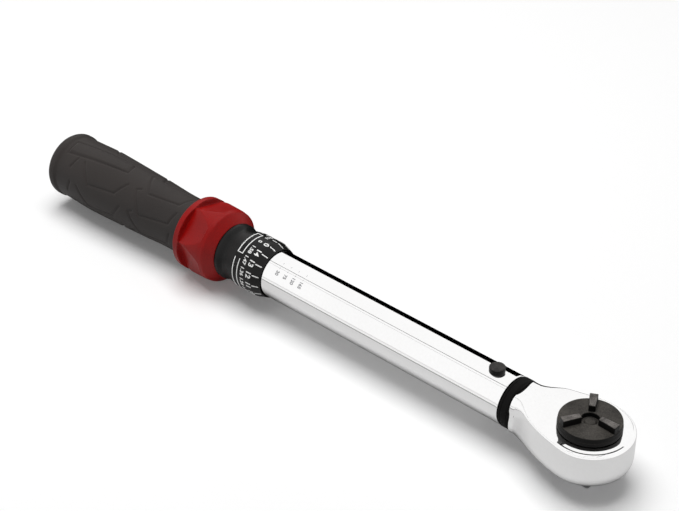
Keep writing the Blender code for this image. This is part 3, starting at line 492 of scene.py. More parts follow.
# Ratchet head: a chrome-plated steel forging. A round head with a flat top runs back through full shoulders
# into a narrow, rounded neck; the top's edge is a crease that fades out towards the neck. Behind it a stem
# and an arm reach into the tube, where the pivot pin holds them.
HEAD_R = 16.7
SHOULDER_X = -2.0
SHOULDER_PULL = 11.0
NECK_X = -27.2
NECK_PULL = 5.5
NECK_FLARE = 16.0
NECK_HALF_WIDTH = 8.7
NECK_END = -29.1
TOP_INSET = 0.8
NECK_TOP_INSET = 4.0
TOP_DROP = 0.8
NECK_TOP_DROP = 6.0
LIP_WIDTH = 2.4
LIP_DROP = 0.65
LIP_STEPS = ((0.96, 0.02), (0.55, 0.60), (0.50, 0.62), (0.27, 0.30), (0.22, 0.30), (0.03, 0.95))
LIP_SPAN = (-6.0, 6.0)
NECK_RISE = 1.3
RISE_END = -12.0
NECK_ROUND_SPAN = (-27.0, -17.0)
FLAT_R = 12.6
BOTTOM_INSET = 2.3
BOTTOM_DROP = 4.6
GEAR_BORE_R = 9.4
GEAR_CEILING = 2.0
COVER_RECESS_CEILING = -6.4
COVER_RECESS_R = 12.9
COVER_RECESS_REAR = 19.3
COVER_RECESS_HALF_WIDTH = 8.3
DIAL_HOLE_R = 6.3
STEM_R = 6.3
STEM_ROUND = 0.8
STEM_REAR = -38.0
ARM_HALF_WIDTH = 4.2
ARM_HALF_HEIGHT = 4.5
ARM_ROUND = 0.6
OVERLAP = 2.0
NOSE_POINTS = 121
SHOULDER_POINTS = 61
NECK_POINTS = 6
END_POINTS = 21
CORNER_POINTS = 5
TOP_ROWS = 9
EDGE_ROWS = 12
FLANK_ROWS = (0.03, 0.35, 0.65, 0.97)
BOTTOM_ROWS = 14
NOT_ZERO = 1e-6

head_rear = span("ratchet_head", 0)[0]
head_bottom, head_top = (z - axis_height for z in span("ratchet_head", 2))


def head_outline():
    """The head seen from above, as points and outward normals: an arc round the nose, a curve down each
    shoulder with its handles along the arc and the neck's flare, the neck's sides and its square end."""
    reach = math.acos(SHOULDER_X / HEAD_R)
    nose = np.linspace(-reach, reach, NOSE_POINTS)
    ray = np.stack([np.cos(nose), np.sin(nose)], -1)
    shoulder = HEAD_R * np.array([math.cos(reach), math.sin(reach)])
    slide = np.array([-math.sin(reach), math.cos(reach)])
    flare = np.array([math.cos(math.radians(NECK_FLARE)), math.sin(math.radians(NECK_FLARE))])
    neck_side = np.array([NECK_X, NECK_HALF_WIDTH])
    ends = [shoulder, shoulder + slide * SHOULDER_PULL, neck_side + flare * NECK_PULL, neck_side]
    share = np.linspace(0.0, 1.0, SHOULDER_POINTS)[1:, None]
    rest = 1.0 - share
    weights = np.hstack([rest**3, 3 * rest**2 * share, 3 * rest * share**2, share**3])
    slopes = np.hstack([rest**2, 2 * rest * share, share**2])
    side, run = weights @ np.array(ends), slopes @ np.diff(ends, axis=0)
    out = np.stack([run[:, 1], -run[:, 0]], -1) / np.linalg.norm(run, axis=1, keepdims=True)
    neck = np.linspace(NECK_X, NECK_END, NECK_POINTS)[1:]
    side = np.vstack([side, np.stack([neck, np.full_like(neck, NECK_HALF_WIDTH)], -1)])
    out = np.vstack([out, np.tile([0.0, 1.0], (len(neck), 1))])
    across = np.linspace(1.0, -1.0, END_POINTS)[1:-1]
    end = np.stack([np.full_like(across, NECK_END), across * NECK_HALF_WIDTH], -1)
    end_out = np.stack([np.zeros_like(across), across], -1)
    mirror = np.array([1.0, -1.0])
    points = np.vstack([HEAD_R * ray, side, end, side[::-1] * mirror])
    normals = np.vstack([ray, out, end_out, out[::-1] * mirror])
    return points, normals


def eased(value, low, high):
    """0 below low and 1 above high, with a smooth step between them."""
    share = np.clip((value - low) / (high - low), 0.0, 1.0)
    return share * share * (3 - 2 * share)


def flat_rows(points, heights):
    """Rows of the same (x, y) points at each height over the tube's axis."""
    return [np.column_stack([points, np.broadcast_to(axis_height + height, len(points))])
            for height in heights]


def crest_at(x):
    """The height of the head's top at x: flat under the dial, rising a little towards the neck."""
    return head_top + NECK_RISE * (1 - eased(x, NECK_END, RISE_END))


def head_sheet():
    """The head's whole skin, as rings from the dial's hole over the top, down the flank, under it and in to
    the gear's bore. A flank ring is the outline, drawn in along its normals by the inset of that height.
    Round the nose a lip with a shallow valley slopes down to the top's edge."""
    outline, normals = head_outline()
    width = eased(outline[:, 0], *NECK_ROUND_SPAN)
    top_inset = (NECK_TOP_INSET + (TOP_INSET - NECK_TOP_INSET) * width)[:, None]
    top_drop = NECK_TOP_DROP + (TOP_DROP - NECK_TOP_DROP) * width
    lip_drop = LIP_DROP * eased(outline[:, 0], *LIP_SPAN)
    edge = crest_at(outline[:, 0]) - lip_drop
    direction = np.arctan2(outline[:, 1], outline[:, 0])
    ray = np.stack([np.cos(direction), np.sin(direction)], -1)
    tongue = np.minimum(COVER_RECESS_REAR / np.maximum(-ray[:, 0], NOT_ZERO),
                        COVER_RECESS_HALF_WIDTH / np.maximum(np.abs(ray[:, 1]), NOT_ZERO))
    recess = np.where(ray[:, 0] < 0.0, np.maximum(COVER_RECESS_R, tongue), COVER_RECESS_R)[:, None] * ray

    rows = flat_rows(DIAL_HOLE_R * ray, (GEAR_CEILING, head_top))
    brink = outline - (top_inset + LIP_WIDTH) * normals
    for share in np.linspace(0.0, 1.0, TOP_ROWS):
        points = FLAT_R * ray + (brink - FLAT_R * ray) * share
        rows += flat_rows(points, (crest_at(points[:, 0]),))
    for across, depth in LIP_STEPS:
        points = outline - (top_inset + LIP_WIDTH * across) * normals
        rows += flat_rows(points, (crest_at(points[:, 0]) - lip_drop * depth,))
    for angle in np.linspace(0.0, math.pi / 2, EDGE_ROWS):
        inset = top_inset * (1 - math.sin(angle))
        rows += flat_rows(outline - inset * normals, (edge - top_drop * (1 - math.cos(angle)),))
    flank_top, flank_bottom = edge - top_drop, head_bottom + BOTTOM_DROP
    for share in FLANK_ROWS:
        rows += flat_rows(outline, (flank_top + (flank_bottom - flank_top) * share,))
    for angle in np.linspace(math.pi / 2, 0.0, BOTTOM_ROWS):
        inset = BOTTOM_INSET * (1 - math.sin(angle))
        rows += flat_rows(outline - inset * normals, (head_bottom + BOTTOM_DROP * (1 - math.cos(angle)),))
    rows += flat_rows(recess, (head_bottom, COVER_RECESS_CEILING))
    rows += flat_rows(GEAR_BORE_R * ray, (COVER_RECESS_CEILING, GEAR_CEILING))
    return np.stack(rows + rows[:1])


def rounded_rectangle(half_width, half_height, corner):
    """A rectangle with round corners, as (across, up) points and outward normals: each corner is a quarter
    circle about a centre drawn in by the corner's radius."""
    turn = np.linspace(0.0, np.pi / 2, CORNER_POINTS)
    angle = np.concatenate([turn + quarter * np.pi / 2 for quarter in range(4)])
    sign = np.repeat([(1, 1), (-1, 1), (-1, -1), (1, -1)], CORNER_POINTS, axis=0)
    normals = np.stack([np.cos(angle), np.sin(angle)], -1)
    return sign * (half_width - corner, half_height - corner) + corner * normals, normals


def arm_sheet():
    """The arm behind the stem: a rounded rectangle carried along X, with its ends closed on its middle."""
    section = rounded_rectangle(ARM_HALF_WIDTH, ARM_HALF_HEIGHT, ARM_ROUND)[0]
    arm_front = STEM_REAR + OVERLAP
    rows = [(arm_front, 0.0), (arm_front, 1.0), (head_rear, 1.0), (head_rear, 0.0)]
    return np.stack([np.column_stack([np.full(len(section), x), section * size]) + (0, 0, axis_height)
                     for x, size in rows])


stem = turned(filleted([
    (NECK_END + OVERLAP, 0.0, 0.0),
    (NECK_END + OVERLAP, STEM_R, 0.0),
    (STEM_REAR, STEM_R, STEM_ROUND),
    (STEM_REAR, 0.0, 0.0),
]), SMALL_COLUMNS)
head = skin("ratchet_head_forging", head_sheet(), stem, arm_sheet())
dress(head, chrome, "head", "chrome", "ratchet_head")

# Head seal: a black rubber ring that closes the gap between the tube's mouth and the head's neck.
# It sits on the stem, a little proud of the tube, with a round front edge and a shallow groove.
SEAL_R = 10.1
SEAL_BORE_R = 6.6
SEAL_FRONT_ROUND = 0.9
SEAL_REAR_ROUND = 0.3
SEAL_GROOVE = (1.3, 1.0, 0.7)
SEAL_GROOVE_DEPTH = 0.25
SEAL_GROOVE_ROUND = 0.12
RUBBER_BLACK = (0.002, 0.002, 0.002)
RUBBER_GREY = (0.006, 0.0055, 0.0055)

seal_rear, seal_front = span("head_seal", 0)
seal = skin("head_seal_ring", turned(filleted([
    (seal_front, SEAL_BORE_R, 0.0),
    (seal_front, SEAL_R, SEAL_FRONT_ROUND),
    (seal_rear + SEAL_GROOVE[0], SEAL_R, SEAL_GROOVE_ROUND),
    (seal_rear + SEAL_GROOVE[1], SEAL_R - SEAL_GROOVE_DEPTH, SEAL_GROOVE_ROUND),
    (seal_rear + SEAL_GROOVE[2], SEAL_R, SEAL_GROOVE_ROUND),
    (seal_rear, SEAL_R, SEAL_REAR_ROUND),
    (seal_rear, SEAL_BORE_R, 0.0),
    (seal_front, SEAL_BORE_R, 0.0),
])))
seal_rubber = finish("seal_rubber", RUBBER_BLACK, RUBBER_GREY, cells=3000.0, patches=150.0, smooth=0.45,
                     rough=0.65, bump=0.02, Specular_IOR_Level=0.08)
dress(seal, seal_rubber, "head", "seal_rubber", "head_seal")

# Drive, cover plate and inner works: plain machined steel, with a brass nut inside the tube.
# Their solids are the right shape already, so they keep it and take a finish of fine scratched metal.
STEEL = (0.58, 0.58, 0.59)
STEEL_SHADE = (0.40, 0.40, 0.41)
BRASS = (0.68, 0.50, 0.22)
BRASS_SHADE = (0.50, 0.35, 0.14)

steel = finish("machined_steel", STEEL_SHADE, STEEL, cells=2500.0, patches=120.0, smooth=0.22, rough=0.42,
               bump=0.01, Metallic=1.0)
brass = finish("brass", BRASS_SHADE, BRASS, cells=2500.0, patches=120.0, smooth=0.25, rough=0.45,
               bump=0.01, Metallic=1.0)
slot_finish = {"chrome": chrome, "brass": brass}
for subpart in frame["record"]["subparts"]:
    node = frame["nodes"][subpart["node"]]
    node.data.materials.clear()
    node.data.materials.append(slot_finish.get(subpart["material_slot"], steel))

# Springs: round spring-steel wire wound on helices, each between a fixed seat and the piece that it pushes.
# The main spring loads the click mechanism; small ones hold out the lock ring, the pawl's plunger and the
# socket ball.
MAIN_COIL_R = 6.2
MAIN_WIRE = 2.4
MAIN_TURNS = 9
RING_COIL_R = 12.2
RING_WIRE = 0.8
RING_TURNS = 2
PAWL_COIL_R = 1.15
PAWL_TURNS = 4
BALL_COIL_R = 1.1
BALL_TURNS = 3
FINE_WIRE = 0.5
WIRE_POINTS = 10
TURN_POINTS = 28
RECOIL_ROOM = 1.6


def coil(node, axis, mean_r, wire, turns, room=0.0):
    """A spring along one axis of its node's box: the wire's centre runs on a helix, and its round section
    is closed on its middle at both ends. Room is left clear at the high end. Gives the piece and the places
    of its two ends."""
    low, high = (np.array(corner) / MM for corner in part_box(node))
    high[axis] -= room
    along, side = np.eye(3)[axis], np.eye(3)[(axis + 1) % 3]
    share = np.linspace(0.0, 1.0, int(turns * TURN_POINTS) + 1)[:, None]
    angle = 2 * np.pi * turns * share
    out = np.cos(angle) * side + np.sin(angle) * np.cross(along, side)
    axle = (low + high) / 2 * (1 - along)
    core = axle + along * (low + wire / 2 + (high - low - wire) * share) + mean_r * out
    section = np.linspace(0.0, 2 * np.pi, WIRE_POINTS, endpoint=False)[:, None]
    rows = core[:, None] + wire / 2 * (np.cos(section) * out[:, None] + np.sin(section) * along)
    ends = [np.broadcast_to(core[number], rows[:1].shape) for number in (0, -1)]
    piece = skin(node + "_wire", np.concatenate([ends[0], rows, ends[1]]))
    return piece, axle + low * along, axle + high * along


def give_way(node, spring, body):
    """Dresses a spring and gives it a mesh of its own."""
    piece, near, far = spring
    dress(piece, steel, body, "steel", node)
    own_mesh(piece)


main_coil = coil("main_spring", 0, MAIN_COIL_R, MAIN_WIRE, MAIN_TURNS, RECOIL_ROOM)
give_way("main_spring", main_coil, "tube")
ring_coil = coil("lock_ring_spring", 0, RING_COIL_R, RING_WIRE, RING_TURNS)
give_way("lock_ring_spring", ring_coil, "handle")
pawl_coil = coil("pawl_spring", 0, PAWL_COIL_R, FINE_WIRE, PAWL_TURNS)
give_way("pawl_spring", pawl_coil, "head")
ball_coil = coil("drive_ball_spring", 1, BALL_COIL_R, FINE_WIRE, BALL_TURNS)
give_way("drive_ball_spring", ball_coil, "drive")

# Reversing dial: a dark cast disc on top of the head, with three straight ribs for the fingers.
# A round recess in its middle holds a low domed boss. The spigot under it turns in the head, where a ring
# keeps it. The cast skin is finely pitted.
DIAL_R = 11.8
DIAL_GAP = 0.3
DIAL_TOP = 10.5
DIAL_EDGE = 0.4
DIAL_FOOT_EDGE = 0.25
DIAL_DRAFT = 0.2
PARTING_HEIGHT = 1.4
PARTING_STEP = 0.1
PARTING_ROUND = 0.04
DIAL_SPIGOT_R = 6.0
SPIGOT_ROOT_ROUND = 0.2
SPIGOT_EDGE = 0.3
DIAL_RECESS_FLOOR = 8.7
DIAL_RECESS_R = 3.4
DIAL_RECESS_EDGE = 0.25
DIAL_RECESS_DRAFT = 0.15
DIAL_RECESS_ROUND = 0.12
BOSS_R = 2.5
BOSS_RISE = 0.8
BOSS_DOME_R = 1.75
BOSS_DOME_RISE = 0.7
BOSS_DOME_ROUND = 0.5
BOSS_FOOT_ROUND = 0.15
RIBS = 3
RIB_WIDTH = 3.0
RIB_INNER_R = 3.9
RIB_OUTER_R = 11.4
RIB_ROUND = 0.35
RIB_ROUND_ROWS = 6
RIB_FLARE = 0.035
RIB_SINK = 0.8
RIB_LEAN = 0.12
RIB_CROWN = 0.28
CAST_BLACK = (0.022, 0.020, 0.018)
CAST_GREY = (0.075, 0.069, 0.062)
# Painted shade for the sides of the disc and of the ribs:
CAST_PAINTED_SHADE = (0.004, 0.0037, 0.0035)
WORN_DARK = (0.040, 0.036, 0.034)
WORN_LIGHT = (0.215, 0.200, 0.188)


def rib_sheet(degrees):
    """One rib: a rounded rectangle with its short ends at the inner and outer radius, drawn up from inside
    the disc with slightly leaning sides, rounded over at the top and closed on its middle."""
    outline, normals = rounded_rectangle((RIB_OUTER_R - RIB_INNER_R) / 2, RIB_WIDTH / 2, RIB_ROUND)
    outline[:, 1] *= 1.0 + RIB_FLARE * outline[:, 0]
    rows = [(DIAL_TOP - RIB_SINK, 0.0), (dial_top - 2 * RIB_ROUND, RIB_LEAN)]
    for bend in np.linspace(0.0, math.pi / 2, RIB_ROUND_ROWS):
        inset = RIB_LEAN + RIB_CROWN * (1 - math.cos(bend))
        rows.append((dial_top - RIB_ROUND * (1 - math.sin(bend)), inset))
    angle = math.radians(degrees)
    turn = np.array([[math.cos(angle), math.sin(angle)], [-math.sin(angle), math.cos(angle)]])
    middle = np.array([(RIB_OUTER_R + RIB_INNER_R) / 2, 0.0])
    rings = [flat_rows((outline - inset * normals + middle) @ turn, (height,))[0] for height, inset in rows]
    centre = flat_rows(np.tile(middle @ turn, (len(outline), 1)), (rows[0][0], rows[-1][0]))
    return np.stack([centre[0]] + rings + [centre[1]])


dial_bottom, dial_top = (z - axis_height for z in span("reverse_dial", 2))
disc_bottom = head_top + DIAL_GAP
parting = disc_bottom + PARTING_HEIGHT
disc = upright(filleted([
    (DIAL_RECESS_FLOOR + BOSS_RISE, 0.0, 0.0),
    (DIAL_RECESS_FLOOR + BOSS_DOME_RISE, BOSS_DOME_R, BOSS_DOME_ROUND),
    (DIAL_RECESS_FLOOR, BOSS_R, BOSS_FOOT_ROUND),
    (DIAL_RECESS_FLOOR, DIAL_RECESS_R - DIAL_RECESS_DRAFT, DIAL_RECESS_ROUND),
    (DIAL_TOP, DIAL_RECESS_R, DIAL_RECESS_EDGE),
    (DIAL_TOP, DIAL_R - DIAL_DRAFT, DIAL_EDGE),
    (parting + PARTING_STEP, DIAL_R - PARTING_STEP, PARTING_ROUND),
    (parting, DIAL_R, PARTING_ROUND),
    (disc_bottom, DIAL_R, DIAL_FOOT_EDGE),
    (disc_bottom, DIAL_SPIGOT_R, SPIGOT_ROOT_ROUND),
    (dial_bottom, DIAL_SPIGOT_R, SPIGOT_EDGE),
    (dial_bottom, 0.0, 0.0),
]))
dial = skin("reverse_dial_casting", disc)
ribs = skin("reverse_dial_ribs", *(rib_sheet(360 / RIBS * number) for number in range(RIBS)))
cast_metal = finish("dark_casting", CAST_BLACK, CAST_GREY, cells=2200.0, patches=200.0, smooth=0.38,
                    rough=0.62, bump=0.05, flank=CAST_PAINTED_SHADE, Specular_IOR_Level=0.12)
worn_metal = finish("worn_casting", WORN_DARK, WORN_LIGHT, cells=2600.0, patches=300.0, smooth=0.34,
                    rough=0.58, bump=0.05, flank=CAST_PAINTED_SHADE, Specular_IOR_Level=0.12)
dress(dial, cast_metal, "dial", "black_steel", "reverse_dial")
dress(ribs, worn_metal, "dial", "black_steel")

# Thimble sleeve: a black anodised sleeve that screws along the tube with the grip.
# Its bevelled front carries a white tick for each of fifteen steps, then two rows of figures: the steps, and
# the same torque in newton metres. Behind them two white lines ring it, broken by a plain frame on top.
SLEEVE_BORE_R = 10.3
SLEEVE_R = 11.2
SLEEVE_REAR_ROUND = 0.2
THIMBLE_LIP_R = 10.6
THIMBLE_LIP_ROUND = 0.12
THIMBLE_R = 12.0
WAIST_R = 11.1
THIMBLE_RIM_R = 12.1
BEVEL_LENGTH = 4.4
BEVEL_ROUND = 0.6
WAIST_START = -168.6
WAIST_START_ROUND = 0.5
WAIST_LOW = (-173.6, -175.2)
WAIST_LOW_ROUND = (0.7, 0.4)
RIM_START = -177.0
RIM_START_ROUND = 0.4
RIM_END = -178.6
RIM_END_ROUND = 0.3
STEPS_A_TURN = 15
ZERO_ANGLE = 2.0
TICK_REAR = -157.6
TICK_FRONT = -154.7
TICK_WIDTH = 0.42
STEP_ROW_X = -159.5
STEP_FIGURE_HEIGHT = 2.45
STEP_FIGURE_TURN = 1.5
TORQUE_ROW_X = -163.0
TORQUE_FIGURE_HEIGHT = 1.75
TORQUE_FIGURE_TURN = 1.0
LINES_X = (-168.1, -165.6)
LINE_HALF = 0.22
LINE_SPAN = (54.0, 332.0)
FRAME_SPAN = (-18.0, 43.5)
FRAME_END = 1.8
NEWTON_METRES = 0.113
ANODISED_BLACK = (0.003, 0.003, 0.003)
ANODISED_GREY = (0.008, 0.0078, 0.0076)
MARK_WHITE = (0.93, 0.93, 0.92)
MARK_SHADE = (0.84, 0.84, 0.83)

sleeve_rear, sleeve_front = span("thimble_sleeve", 0)
sleeve_corners = [
    (sleeve_front, SLEEVE_BORE_R, 0.0),
    (sleeve_front, THIMBLE_LIP_R, THIMBLE_LIP_ROUND),
    (sleeve_front - BEVEL_LENGTH, THIMBLE_R, BEVEL_ROUND),
    (WAIST_START, THIMBLE_R, WAIST_START_ROUND),
    (WAIST_LOW[0], WAIST_R, WAIST_LOW_ROUND[0]),
    (WAIST_LOW[1], WAIST_R, WAIST_LOW_ROUND[1]),
    (RIM_START, THIMBLE_RIM_R, RIM_START_ROUND),
    (RIM_END, THIMBLE_RIM_R, RIM_END_ROUND),
    (RIM_END, SLEEVE_R, 0.0),
    (sleeve_rear, SLEEVE_R, SLEEVE_REAR_ROUND),
    (sleeve_rear, SLEEVE_BORE_R, 0.0),
    (sleeve_front, SLEEVE_BORE_R, 0.0),
]
sleeve = skin("thimble_sleeve_black", turned(filleted(sleeve_corners)))
anodised = finish("black_anodising", ANODISED_BLACK, ANODISED_GREY, cells=3000.0, patches=100.0, smooth=0.26,
                  rough=0.40, bump=0.004, Specular_IOR_Level=0.2)
dress(sleeve, anodised, "handle", "black_aluminium", "thimble_sleeve")


def thimble_radius(x):
    """The sleeve's radius under its marks: the bevel, then the drum."""
    return np.interp(x, (sleeve_front - BEVEL_LENGTH, sleeve_front), (THIMBLE_R, THIMBLE_LIP_R))


def painted_band(rear, front, start, end):
    """A white band on the drum from one angle to another: a thin box section carried round, with its ends
    closed on their middles."""
    x = np.array([rear, rear, front, front])
    radius = THIMBLE_R + FIGURE_PROUD * np.array([-1.0, 1.0, 1.0, -1.0])
    rows = about_tube(x, radius, np.linspace(start, end, 2 + int(end - start))[:, None])
    ends = [np.broadcast_to(row.mean(axis=0), row.shape)[None] for row in (rows[0], rows[-1])]
    return np.concatenate([ends[0], rows, ends[1]])


thimble_marks = []
for step in range(STEPS_A_TURN):
    degrees = ZERO_ANGLE - 360.0 / STEPS_A_TURN * step
    tick = stroke(TICK_WIDTH, TICK_FRONT - TICK_REAR)
    thimble_marks.append((tick, (TICK_FRONT + TICK_REAR) / 2, degrees))
    number = figures(str(step), STEP_FIGURE_HEIGHT)
    thimble_marks.append((number, STEP_ROW_X, degrees + STEP_FIGURE_TURN))
    torque = figures(f"{step * NEWTON_METRES:.2f}" if step else "0", TORQUE_FIGURE_HEIGHT)
    thimble_marks.append((torque, TORQUE_ROW_X, degrees + TORQUE_FIGURE_TURN))
white_paint = finish("white_marking", MARK_SHADE, MARK_WHITE, cells=3000.0, patches=200.0, smooth=0.45,
                     rough=0.60)
marks = wrapped("thimble_figures", thimble_marks, thimble_radius)
dress(marks, white_paint, "handle", "black_aluminium")
bands = [painted_band(x - LINE_HALF, x + LINE_HALF, *ends)
         for x in LINES_X for ends in (LINE_SPAN, FRAME_SPAN)]
frame_start, frame_end = FRAME_SPAN
bands.append(painted_band(*LINES_X, frame_start, frame_start + FRAME_END))
bands.append(painted_band(*LINES_X, frame_end - FRAME_END, frame_end))
lines = skin("thimble_lines", *bands)
dress(lines, white_paint, "handle", "black_aluminium")

# Lock ring: a moulded red ring that slides on the sleeve and locks the thimble.
# Six thumb pockets are scooped into it, deepest at the grip's end and running out towards a bevelled front.
RING_BORE_R = 11.5
RING_SPRING_BORE_R = 13.2
RING_WEB_REAR = -192.8
RING_NOSE = ((0.0, 11.8, 0.0), (1.0, 12.9, 0.3), (3.5, 15.6, 0.5), (6.0, 15.95, 0.8))
RING_R = 16.1
RING_CROWN = 2.0
RING_REAR_R = 15.85
RING_REAR_ROUND = 0.55
RING_WALL = 0.2
RING_STEP = 0.14
RING_COLUMNS = 432
POCKETS = 6
POCKET_ANGLE = 46.0
POCKET_REAR = -196.4
POCKET_FRONT = -184.6
POCKET_DEEP_R = 13.45
POCKET_SHALLOW_R = 15.5
POCKET_REAR_SLOPE = 5.0
POCKET_FRONT_SLOPE = 1.2
POCKET_EDGE = 0.12
RING_RED = (0.215, 0.001, 0.001)
RING_LIGHT_RED = (0.310, 0.005, 0.004)


def even(profile, step):
    """The same profile with points at an even distance along it."""
    length = np.concatenate([[0.0], np.cumsum(np.linalg.norm(np.diff(profile, axis=0), axis=1))])
    along = np.linspace(0.0, length[-1], int(length[-1] / step) + 2)
    return np.stack([np.interp(along, length, profile[:, 0]), np.interp(along, length, profile[:, 1])], -1)


def lower_of(one, two, blend):
    """The lower of two heights. Where they come within blend of each other, a parabola rounds the
    crossing over."""
    share = np.clip(0.5 + 0.5 * (two - one) / blend, 0.0, 1.0)
    return two + (one - two) * share - blend * share * (1 - share)


def ring_sheet():
    """The ring's skin: its turned outside, cut down to the pockets' flat floors, and its plain bore. The
    nose's corners are (behind the front, radius, cut). A floor is a plane square to its pocket's angle, so
    its radius is its height over the cosine of the angle off it. The planes sink towards the rear, so that
    the lands between them narrow to a point there."""
    outside = even(filleted([
        *((ring_front - behind, radius, cut) for behind, radius, cut in RING_NOSE),
        (RING_WEB_REAR, RING_R, RING_CROWN),
        (ring_rear, RING_REAR_R, RING_REAR_ROUND),
        (ring_rear, RING_SPRING_BORE_R, 0.0),
    ]), RING_STEP)
    x, radius = outside[:, :1], outside[:, 1:]
    degrees = np.linspace(0.0, 360.0, RING_COLUMNS, endpoint=False)
    pitch = 360.0 / POCKETS
    off = np.radians((degrees - POCKET_ANGLE + pitch / 2) % pitch - pitch / 2)
    slope = (POCKET_SHALLOW_R - POCKET_DEEP_R) / (POCKET_FRONT - POCKET_REAR)
    floor_r = POCKET_DEEP_R + slope * (x - POCKET_REAR)
    floor_r = floor_r + POCKET_REAR_SLOPE * np.maximum(POCKET_REAR - x, 0.0)
    floor_r = floor_r + POCKET_FRONT_SLOPE * np.maximum(x - POCKET_FRONT, 0.0)
    worked = lower_of(radius, floor_r / np.cos(off), POCKET_EDGE)
    bore = turned(np.array([
        (RING_WEB_REAR, RING_SPRING_BORE_R),
        (RING_WEB_REAR, RING_BORE_R),
        (ring_front, RING_BORE_R),
    ]), RING_COLUMNS)
    shell = about_tube(x, np.where(radius > RING_SPRING_BORE_R + RING_WALL, worked, radius), degrees)
    return np.vstack([shell, bore, shell[:1]])


ring_rear, ring_front = span("lock_ring", 0)
ring = skin("lock_ring_red", ring_sheet())
red = finish("red_moulding", RING_RED, RING_LIGHT_RED, cells=1800.0, patches=90.0, smooth=0.34, rough=0.46,
             bump=0.012, Specular_IOR_Level=0.22)
dress(ring, red, "lock_ring", "red_ring", "lock_ring")

# Grip: a soft dark moulding on the sleeve, swelling towards the hand's heel and ending in a flanged butt.
# Fine grooves outline slanted panels in two staggered rows, eight round the grip. One panel on top is a
# plain raised plate.
GRIP_BORE_R = 11.5
GRIP_MOUTH_R = 12.2
GRIP_MOUTH_ROUND = 0.3
GRIP_STEP = 0.36
GRIP_COLUMNS = 300
PANELS = 8
PANEL_SEAM = 135.0
PLATED_PANEL = 7
REAR_PANEL = ((-262.1, 34.5), (-255.4, 67.0), (-239.9, 58.8), (-235.2, 31.3))
REAR_TAIL = ((-266.7, 33.3), (-268.5, 52.8))
FRONT_PANEL = ((-227.8, 27.5), (-230.0, 32.0), (-223.6, 74.5), (-207.2, 63.0), (-205.4, 36.0))
PLATE = ((-274.8, 2.4), (-274.1, 31.8), (-239.8, 11.5), (-241.5, -14.6), (-274.8, 2.4))
PLATE_RISE = 0.22
PLATE_REAR_EDGE = (0.0, 1.6)
PLATE_FRONT_EDGE = (-3.0, -1.4)
PLATE_LOW_EDGE = (1.0, 4.0)
PLATE_HIGH_EDGE = (-6.0, -3.0)
PLAIN_REAR = (4.0, 5.5)
PLAIN_FRONT = (-3.0, -1.0)
GROOVE_DEPTH = 0.42
GROOVE_WIDTH = 0.5
GRIP_MEAN_R = 13.6
GRIP_DARK = (0.022, 0.0185, 0.0175)
GRIP_LIGHT = (0.034, 0.029, 0.027)
GRIP_CORNERS = (
    (-214.0, 12.4, 4.0),
    (-225.0, 13.1, 3.5),
    (-248.0, 14.0, 4.0),
    (-259.0, 14.35, 3.0),
    (-267.0, 14.05, 2.5),
    (-276.3, 13.7, 0.5),
    (-277.5, 14.35, 0.45),
    (-280.0, 14.35, 0.8),
    (-281.6, 13.3, 0.5),
)


def distance(x, across, corners):
    """How far each place (x, across) is from the nearest side of a polygon: along each side the foot of the
    perpendicular, kept between its two ends."""
    nearest = np.full(np.broadcast_shapes(x.shape, across.shape), np.inf)
    for (ax, ay), (bx, by) in zip(corners, corners[1:]):
        dx, dy = bx - ax, by - ay
        foot = np.clip(((x - ax) * dx + (across - ay) * dy) / (dx * dx + dy * dy), 0.0, 1.0)
        nearest = np.minimum(nearest, np.hypot(x - ax - foot * dx, across - ay - foot * dy))
    return nearest


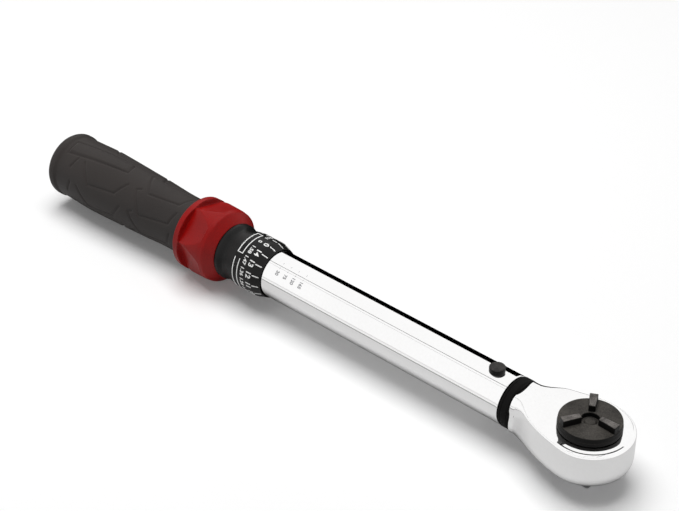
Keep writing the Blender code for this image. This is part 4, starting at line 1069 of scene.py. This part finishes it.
def grip_sheet():
    """The grip's skin: its turned outside with grooves sunk along the panels' outlines, and its plain bore.
    Lines of (x, degrees) are laid on the skin unrolled at its mean radius, once for each panel round it. A
    groove's section is a bell curve, the exponential of minus the square of distance over width."""
    outside = even(filleted([
        (grip_front, GRIP_BORE_R, 0.0),
        (grip_front, GRIP_MOUTH_R, GRIP_MOUTH_ROUND),
        *GRIP_CORNERS,
        (grip_rear, GRIP_MOUTH_R, GRIP_MOUTH_ROUND),
        (grip_rear, GRIP_BORE_R, 0.0),
    ]), GRIP_STEP)
    x, radius = outside[:, :1], outside[:, 1:]
    degrees = np.linspace(0.0, 360.0, GRIP_COLUMNS, endpoint=False)
    arc = np.array([1.0, math.radians(GRIP_MEAN_R)])
    groove = distance(x, arc[1] * ((degrees + 180.0) % 360.0 - 180.0), PLATE * arc)
    for turn in range(PANELS):
        across = arc[1] * ((degrees - 360.0 / PANELS * turn + PANEL_SEAM) % 360.0 - PANEL_SEAM)
        lines = (FRONT_PANEL,) if turn == PLATED_PANEL else (FRONT_PANEL, REAR_PANEL, REAR_TAIL)
        for line in lines:
            groove = np.minimum(groove, distance(x, across, line * arc))
    (rear, low), (_, high), (front, _), (_, front_low) = PLATE[:4]
    turn_of_plate = (front_low - low) / (front - rear)
    wound = (degrees - turn_of_plate * (x - rear) + 180.0) % 360.0 - 180.0
    within = eased(x - rear, *PLATE_REAR_EDGE) * (1 - eased(x - front, *PLATE_FRONT_EDGE))
    within = within * eased(wound - low, *PLATE_LOW_EDGE) * (1 - eased(wound - high, *PLATE_HIGH_EDGE))
    sunk = GROOVE_DEPTH * np.exp(-((groove / GROOVE_WIDTH) ** 2))
    keep = eased(x - grip_rear, *PLAIN_REAR) * (1 - eased(x - grip_front, *PLAIN_FRONT))
    shell = about_tube(x, radius + keep * (PLATE_RISE * within - sunk), degrees)
    return np.vstack([shell, shell[:1]])


grip_rear, grip_front = span("grip", 0)
grip = skin("grip_moulding", grip_sheet())
grip_rubber = finish("grip_rubber", GRIP_DARK, GRIP_LIGHT, cells=2600.0, patches=60.0, smooth=0.48,
                     rough=0.62, bump=0.03, Specular_IOR_Level=0.25)
dress(grip, grip_rubber, "handle", "grip_rubber", "grip")

# End cap: a black rubber moulding, pressed into the grip's butt.
# Its face is dished in the middle, and the rim round the dish has a rounded edge.
CAP_R = 11.2
CAP_EDGE = 0.9
CAP_FRONT_EDGE = 0.5
CAP_RIM_R = 8.4
CAP_DISH_R = 7.6
CAP_DISH_DEPTH = 0.8
CAP_MIDDLE_DEPTH = 0.9
CAP_DISH_ROUND = 0.3
CAP_COLUMNS = 96

cap_rear, cap_front = span("end_cap", 0)
cap = skin("end_cap_rubber", turned(filleted([
    (cap_front, 0.0, 0.0),
    (cap_front, CAP_R, CAP_FRONT_EDGE),
    (cap_rear, CAP_R, CAP_EDGE),
    (cap_rear, CAP_RIM_R, CAP_DISH_ROUND),
    (cap_rear + CAP_DISH_DEPTH, CAP_DISH_R, CAP_DISH_ROUND),
    (cap_rear + CAP_MIDDLE_DEPTH, 0.0, 0.0),
]), CAP_COLUMNS))
dress(cap, seal_rubber, "handle", "seal_rubber", "end_cap")
